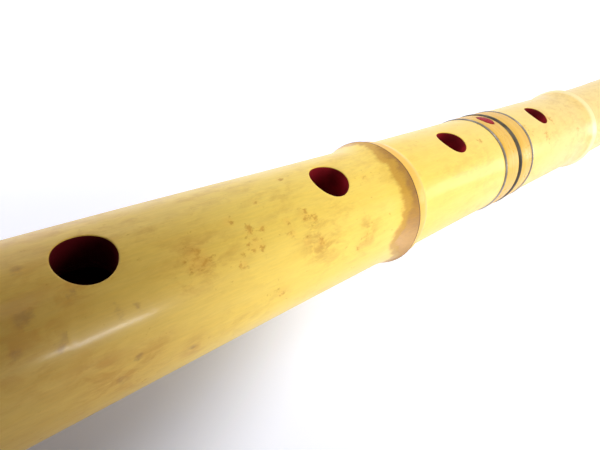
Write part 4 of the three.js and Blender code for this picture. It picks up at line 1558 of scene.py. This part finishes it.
def build_insert(scene):
    """The blowing edge's insert: a wedge whose top lies in the oblique cut and whose underside is the
    bore, or its own depth below the cut, whichever is higher. Two grids of the same shape are its top
    and its underside, and their edges are joined."""
    culm = Culm(scene)
    bore = culm.bore
    slope = math.tan(bore.cut_angle)
    down_cut = math.cos(bore.cut_angle)
    across = np.linspace(-1, 1, 41)[None, :]
    back = np.linspace(0, 1, 25)[:, None]
    reach = bore.insert_reach * down_cut
    narrowing = (bore.insert_edge_width - bore.insert_tip_width) / 2 / bore.insert_reach
    half_width = bore.insert_edge_width / 2
    edge = bore.blowing_edge_height
    depth = bore.insert_depth / down_cut
    front = np.zeros_like(across)
    for _ in range(6):
        y = across * (half_width - front / down_cut * narrowing)
        bore_top = np.sqrt(np.maximum(bore.mouth_bore_radius ** 2 - y ** 2, 0))
        front = np.maximum(0, (bore_top - edge + INSERT_EDGE) / slope)
    behind = front + (reach - front) * back
    y = across * (half_width - behind / down_cut * narrowing)
    top = edge + behind * slope
    bore_top = np.sqrt(np.maximum(culm.bore_radius(culm.length - behind) ** 2 - y ** 2, 0))
    under = np.minimum(np.maximum(bore_top, top - depth), top - INSERT_EDGE)
    axis = AXIS_HEIGHT + culm.rise(culm.length - behind)
    x = MOUTH_FACE_X - behind
    heights = (top + INSERT_PROUD, under)
    sides = [np.stack(np.broadcast_arrays(x, y, axis + height), axis=-1) for height in heights]
    points = np.vstack([side.reshape(-1, 3) for side in sides])
    rows, columns = y.shape
    upper = np.arange(rows * columns).reshape(rows, columns)
    lower = upper + rows * columns
    tops = np.stack([upper[:-1, :-1], upper[:-1, 1:], upper[1:, 1:], upper[1:, :-1]], axis=-1)
    unders = np.stack([lower[:-1, :-1], lower[1:, :-1], lower[1:, 1:], lower[:-1, 1:]], axis=-1)
    loop = window_loop(np.arange(rows), np.arange(columns))
    walls = quads_round(np.stack([upper[loop], lower[loop]]))
    faces = np.vstack([part.reshape(-1, 4) for part in (tops, unders, walls)])
    horn = material("black_horn", black_horn, scene.flute_colours)
    piece = new_piece("horn_insert", points, faces, [horn], sharp=25)
    settle(piece, "mouth_half", "horn", "blowing_edge_insert")


def ring_outline(start, end, inner, outer, edge):
    """Outline of a ring with quarter circles at its outer edges"""
    arc = arc_turns(5)
    rounded = outer - edge * (1 - np.sin(arc))
    left = np.hstack([start + edge * (1 - np.cos(arc)), rounded])
    right = np.hstack([end - edge * (1 - np.cos(arc)), rounded])[::-1]
    back = np.linspace(-1, 1, 11)[1:-1, None]
    middle = np.hstack([(start + end) / 2 + back * ((end - start) / 2 - edge), np.full_like(back, outer)])
    return np.vstack([[[start, inner]], left, middle, right, [[end, inner]]])


def build_rings(scene):
    """Wire rings beside the bindings, and the two halves of the seam ring, which fall away from the
    seam with a power of the share of their width"""
    culm = Culm(scene)
    joint = culm.joint
    colours = scene.flute_colours
    silver = material("wire_metal", ring_metal, colours.ring_silver, colours.wire_tarnish, 0.5, 0.2)
    dark = material("dark_ring_metal", ring_metal, colours.ring_dark, colours.ring_tarnish, 0.6, 0.3)
    for half, body in (("lower", "root_half"), ("upper", "mouth_half")):
        node = half + "_wire_ring"
        start, end = node_place(node, 0), node_place(node, 1)
        edge = (end - start) * WIRE_EDGE_SHARE
        outline = ring_outline(start, end, joint.binding_inner_radius, joint.wire_radius, edge)
        settle(turned_piece(culm, half + "_wire", outline, [silver]), body, "ring_silver", node)
    for half, body, side in (("lower", "root_half", -1), ("upper", "tenon", 1)):
        node = half + "_seam_ring"
        near = culm.seam + side * joint.seam_gap / 2
        far = node_place(node, 0 if side < 0 else 1)
        back = np.linspace(0, 1, 9)[1:, None]
        hump = np.hstack([near + (far - near) * back, joint.ring_radius - RING_FALL * back ** 2.4])
        lip = [[near, joint.ring_inner_radius], [near, joint.ring_radius - RING_EDGE]]
        outline = np.vstack([lip, hump, [[far, joint.ring_inner_radius]]])
        piece = turned_piece(culm, half + "_seam_metal", outline if side > 0 else outline[::-1], [dark])
        settle(piece, body, "seam_metal", node)


def build_bindings(scene):
    """The two bindings: crowned bands with fine strands; the lower one has the seal's oval seat"""
    culm = Culm(scene)
    joint = culm.joint
    edge = joint.binding_edge
    turn = even_turns(COLUMNS)
    amber = material("wound_amber", wound_amber, scene.flute_colours)
    seat = Hole(
        place=node_middle("seal_inlay"),
        facing=joint.seal_turn,
        half_length=joint.seal_length / 2 + OVAL_GAP,
        half_width=joint.seal_width / 2 + OVAL_GAP,
        rim=OVAL_SEAT_RIM,
        window=joint.seal_window,
        span=OVAL_SPAN,
        floor=joint.binding_radius - joint.seal_depth - OVAL_GAP,
    )
    for half, body, holes in (("lower", "root_half", [seat]), ("upper", "mouth_half", [])):
        node = half + "_binding"
        start, end = node_place(node, 0), node_place(node, 1)
        middle, reach = (start + end) / 2, (end - start) / 2 - edge

        def back(place, _turns):
            """The radius, less a square that crowns it, less a sine for strands as fine as a hair"""
            crown = joint.binding_crown * ((place - middle) / reach) ** 2
            strands = STRAND_HEIGHT * np.sin((place - start) * TURN / STRAND_WIDTH)
            return joint.binding_radius - crown - strands

        def corner(place, arc, away):
            """A quarter circle at one end of a binding"""
            places = place + away * edge * (1 - np.cos(arc))
            radii = back(place + away * edge, turn) - edge * (1 - np.sin(arc))
            return band(places, turn, radii, SKIN, END)

        places = spread_places(start + edge, end - edge, BINDING_STEP, holes, window_cells=OVAL_WINDOW_CELLS)
        places = places[:, None]
        bands = [
            corner(start, arc_turns(5)[:-1], 1),
            band(places, turn, back(places, turn), SKIN, OUTSIDE),
            corner(end, arc_turns(5)[::-1][1:], -1),
            band(np.array([[end], [start]]), turn, joint.binding_inner_radius, SKIN, END),
        ]
        points, _, faces, _ = wall_mesh(culm, turn, bands, holes, back)
        settle(new_piece(half + "_band", points, faces, [amber], sharp=50), body, "amber_binding", node)


def build_seal(scene):
    """The red oval: rings of an ellipse laid on the binding's round, domed, with a soft edge"""
    culm = Culm(scene)
    joint = culm.joint
    angle = even_turns(OVAL_COLUMNS)
    shares = OVAL_SHARES[:, None]
    dome = joint.seal_height * OVAL_DOME
    dome[-1] = -joint.seal_depth
    place = node_middle("seal_inlay") + joint.seal_length / 2 * shares * np.cos(angle)
    y = joint.seal_width / 2 * shares * np.sin(angle)
    radius = joint.binding_radius + dome[:, None]
    turn = joint.seal_turn + np.arcsin(y / radius)
    points = culm.points(place, turn, radius).reshape(-1, 3)
    index = np.arange(y.size).reshape(y.shape)
    faces = quads_round(index).reshape(-1, 4).tolist() + [index[0].tolist(), index[-1][::-1].tolist()]
    numbers = {"seal_share": np.broadcast_to(shares, index.shape).ravel()}
    red = material("oval_lacquer", oval_lacquer, scene.flute_colours)
    piece = new_piece("red_oval", points, faces, [red], numbers=numbers, sharp=60)
    settle(piece, "root_half", "seal_lacquer", "seal_inlay")


def build_tenon(scene):
    """The tenon sleeve, its bore and chamfered tip, and the socket's lining"""
    culm = Culm(scene)
    joint = culm.joint
    black = black_lacquer(scene.flute_colours)
    start, end = node_place("tenon_sleeve", 0), node_place("tenon_sleeve", 1)
    middle = (start + end) / 2
    radius = node_radius("tenon_sleeve")
    chamfer = joint.tenon_chamfer
    soft, blend = TENON_SOFT, TENON_BLEND
    outline = [
        [start, culm.bore_radius(start)],
        [start, radius - chamfer - soft],
        [start + blend, radius - chamfer - blend],
        [start + chamfer - blend, radius - blend],
        [start + chamfer + soft, radius],
        [middle, radius],
        [end - soft, radius],
        [end, radius - soft],
        [end, culm.bore_radius(end)],
        [middle, culm.bore_radius(middle)],
    ]
    settle(turned_piece(culm, "tenon_lacquered", outline, [black]), "tenon", "hard_lacquer", "tenon_sleeve")
    low, high = node_place("socket_lining", 0), node_place("socket_lining", 1)
    outer = node_radius("socket_lining")
    inner = outer - joint.socket_wall
    outline = [[low, inner], [low, outer], [high, outer], [high, inner + soft], [high - soft, inner]]
    piece = turned_piece(culm, "socket_lacquered", outline, [black])
    settle(piece, "root_half", "hard_lacquer", "socket_lining")


# Studio

def area_lamp(name, place, target, size, power, in_gloss=True):
    """A rectangular lamp that faces a point, and shows in gloss or not"""
    lamp = bpy.data.lights.new(name, "AREA")
    lamp.shape = "RECTANGLE"
    lamp.size, lamp.size_y = size
    lamp.energy = power
    holder = bpy.data.objects.new(name, lamp)
    holder.visible_glossy = in_gloss
    bpy.context.scene.collection.objects.link(holder)
    holder.location = place
    away = Vector(place) - Vector(target)
    sideways = Vector((1, 0, 0))
    upright = away.cross(sideways).normalized()
    sideways = upright.cross(away).normalized()
    holder.rotation_euler = Matrix((sideways, upright, away.normalized())).transposed().to_euler()
    return holder


def studio_nodes(holder):
    """The node tree of a studio material or of the sky, emptied"""
    holder.use_nodes = True
    holder.node_tree.nodes.clear()
    return Nodes(holder.node_tree)


def build_floor(settings):
    """A plain white floor that keeps the flute's shadow. To the camera, to gloss and through glass it
    is brightened, but not in the shade beside the root half, and more so far from the flute."""
    paper = bpy.data.materials.new("white_paper")
    made = studio_nodes(paper)
    own = made.node("ShaderNodeTexCoord", {}, "Object")
    distance = made.node("ShaderNodeVectorMath", {0: own}, "Value", operation="LENGTH")
    shade = {0: own, 1: settings.shade_place}
    from_shade = made.node("ShaderNodeVectorMath", shade, "Value", operation="DISTANCE")
    beside = made.step(from_shade, *SHADE_EDGE, settings.glow_shaded, settings.glow_near)
    behind = made.step(made.axis(own, "Y"), *SHADE_BACK, settings.glow_shaded, settings.glow_near)
    farther = made.step(distance, *GLOW_REACH, 0.0, settings.glow_far - settings.glow_near)
    strength = made.times(made.seen(), made.plus(made.larger(beside, behind), farther))
    plain = made.node("ShaderNodeBsdfDiffuse", {"Color": PAPER_COLOUR})
    white = made.node("ShaderNodeEmission", {"Color": GLOW_COLOUR, "Strength": strength})
    both = made.node("ShaderNodeAddShader", {0: plain, 1: white})
    made.surface("ShaderNodeOutputMaterial", both)
    corners = FLOOR_REACH * np.array([[-1, -1, 0], [1, -1, 0], [1, 1, 0], [-1, 1, 0]])
    new_piece("floor", corners, np.array([[0, 1, 2, 3]]), [paper])


def build_sky(scene, settings):
    """An even white sky: full white to the camera, softer as light"""
    world = bpy.data.worlds.new("studio")
    scene.world = world
    made = studio_nodes(world)
    soft = made.node("ShaderNodeBackground", {"Color": SKY_WHITE, "Strength": settings.sky_strength})
    white = made.node("ShaderNodeBackground", {"Color": SKY_WHITE})
    mixed = made.node("ShaderNodeMixShader", {0: made.seen(), 1: soft, 2: white})
    made.surface("ShaderNodeOutputWorld", mixed)


def build_lamps(settings):
    """Soft lamps on both sides and above, and two small ones that show only in gloss"""
    area_lamp("side_lamp", power=settings.side_power, in_gloss=False, **SIDE_LAMP)
    area_lamp("far_lamp", power=settings.far_power, in_gloss=False, **FAR_LAMP)
    area_lamp("top_lamp", power=settings.top_power, **TOP_LAMP)
    streak = area_lamp("streak_lamp", power=settings.streak_power, **STREAK_LAMP)
    glint = area_lamp("glint_lamp", power=settings.glint_power, **GLINT_LAMP)
    for lamp in (streak, glint):
        lamp.visible_diffuse = False


def build_flag(settings):
    """Two cards at a right angle, above the root half and on its near side: they keep light from that
    part and from the floor beside it, and neither the camera nor gloss shows them. Both their ends
    and the foot of the near card grow clear in soft steps."""
    low, high = Vector(settings.flag_low), Vector(settings.flag_high)
    rows = ((low.y, low.z), (low.y, high.z), (high.y, high.z))
    corners = np.array([[x, y, z] for y, z in rows for x in (low.x, high.x)])
    edges = (
        ("X", low.x, low.x + settings.flag_fade),
        ("X", high.x, high.x - settings.flag_fade),
        ("Z", low.z, low.z + settings.flag_foot_fade),
    )
    cloth = bpy.data.materials.new("flag_cloth")
    made = studio_nodes(cloth)
    own = made.node("ShaderNodeTexCoord", {}, "Object")
    density = settings.flag_density
    for axis, outer, full in edges:
        density = made.times(density, made.step(made.axis(own, axis), outer, full))
    clear = made.node("ShaderNodeBsdfTransparent", {})
    dark = made.node("ShaderNodeBsdfDiffuse", {"Color": FLAG_COLOUR})
    mixed = made.node("ShaderNodeMixShader", {0: density, 1: clear, 2: dark})
    made.surface("ShaderNodeOutputMaterial", mixed)
    flag = new_piece("flag", corners, np.array([[0, 1, 3, 2], [2, 3, 5, 4]]), [cloth])
    flag.visible_camera = False
    flag.visible_glossy = False


def build_camera(scene, settings):
    """The camera at the photograph's place"""
    lens = bpy.data.cameras.new("view")
    lens.lens = settings.lens
    lens.sensor_width = SENSOR_WIDTH
    lens.clip_start = CLIP_START
    lens.clip_end = CLIP_END
    holder = bpy.data.objects.new("view", lens)
    scene.collection.objects.link(holder)
    holder.location = settings.camera_place
    holder.rotation_euler = settings.camera_turn
    scene.camera = holder


class FLUTE_OT_bamboo(Operator):
    """Builds both halves of the bamboo"""

    bl_idname = "flute.bamboo"
    bl_label = "Bamboo halves"

    def execute(self, context):
        build_lower_culm(context.scene)
        build_upper_culm(context.scene)
        return {"FINISHED"}


class FLUTE_OT_linings(Operator):
    """Builds the lacquered linings of the bore"""

    bl_idname = "flute.linings"
    bl_label = "Bore linings"

    def execute(self, context):
        build_linings(context.scene)
        return {"FINISHED"}


class FLUTE_OT_insert(Operator):
    """Builds the blowing edge's insert"""

    bl_idname = "flute.insert"
    bl_label = "Blowing edge insert"

    def execute(self, context):
        build_insert(context.scene)
        return {"FINISHED"}


class FLUTE_OT_rings(Operator):
    """Builds the wire rings and the seam rings"""

    bl_idname = "flute.rings"
    bl_label = "Joint rings"

    def execute(self, context):
        build_rings(context.scene)
        return {"FINISHED"}


class FLUTE_OT_bindings(Operator):
    """Builds the two bindings"""

    bl_idname = "flute.bindings"
    bl_label = "Bindings"

    def execute(self, context):
        build_bindings(context.scene)
        return {"FINISHED"}


class FLUTE_OT_seal(Operator):
    """Builds the red oval"""

    bl_idname = "flute.seal"
    bl_label = "Red oval"

    def execute(self, context):
        build_seal(context.scene)
        return {"FINISHED"}


class FLUTE_OT_tenon(Operator):
    """Builds the tenon and the socket's lining"""

    bl_idname = "flute.tenon"
    bl_label = "Tenon and socket"

    def execute(self, context):
        build_tenon(context.scene)
        return {"FINISHED"}


class FLUTE_OT_stage(Operator):
    """Builds the floor, the sky, the lamps, the flag and the camera"""

    bl_idname = "flute.stage"
    bl_label = "Studio"

    def execute(self, context):
        scene = context.scene
        settings = scene.stage_settings
        build_floor(settings)
        build_sky(scene, settings)
        build_lamps(settings)
        build_flag(settings)
        build_camera(scene, settings)
        scene.view_settings.view_transform = "Standard"
        return {"FINISHED"}


OPERATORS = (
    FLUTE_OT_bamboo,
    FLUTE_OT_linings,
    FLUTE_OT_insert,
    FLUTE_OT_rings,
    FLUTE_OT_bindings,
    FLUTE_OT_seal,
    FLUTE_OT_tenon,
    FLUTE_OT_stage,
)
GROUPS = {
    "culm_sizes": CulmSizes,
    "bore_sizes": BoreSizes,
    "joint_sizes": JointSizes,
    "flute_colours": FluteColours,
    "stage_settings": StageSettings,
}


class FLUTE_PT_panel(Panel):
    """Lists the sizes, the colours and the steps"""

    bl_idname = "FLUTE_PT_panel"
    bl_label = "Flute"
    bl_space_type = "VIEW_3D"
    bl_region_type = "UI"
    bl_category = "Flute"

    def draw(self, context):
        for name, group in GROUPS.items():
            box = self.layout.box()
            box.label(text=name.replace("_", " ").capitalize())
            for key in group.__annotations__:
                box.prop(getattr(context.scene, name), key)
        for operator in OPERATORS:
            self.layout.operator(operator.bl_idname)


def register():
    for group in GROUPS.values():
        bpy.utils.register_class(group)
    for name, group in GROUPS.items():
        setattr(bpy.types.Scene, name, PointerProperty(type=group))
    for made in OPERATORS + (FLUTE_PT_panel,):
        bpy.utils.register_class(made)


def unregister():
    for made in reversed(OPERATORS + (FLUTE_PT_panel,)):
        bpy.utils.unregister_class(made)
    for name, group in GROUPS.items():
        delattr(bpy.types.Scene, name)
        bpy.utils.unregister_class(group)


def main():
    register()
    bpy.ops.flute.bamboo()
    bpy.ops.flute.linings()
    bpy.ops.flute.insert()
    bpy.ops.flute.rings()
    bpy.ops.flute.bindings()
    bpy.ops.flute.seal()
    bpy.ops.flute.tenon()
    bpy.ops.flute.stage()


if __name__ == "__main__":
    main()
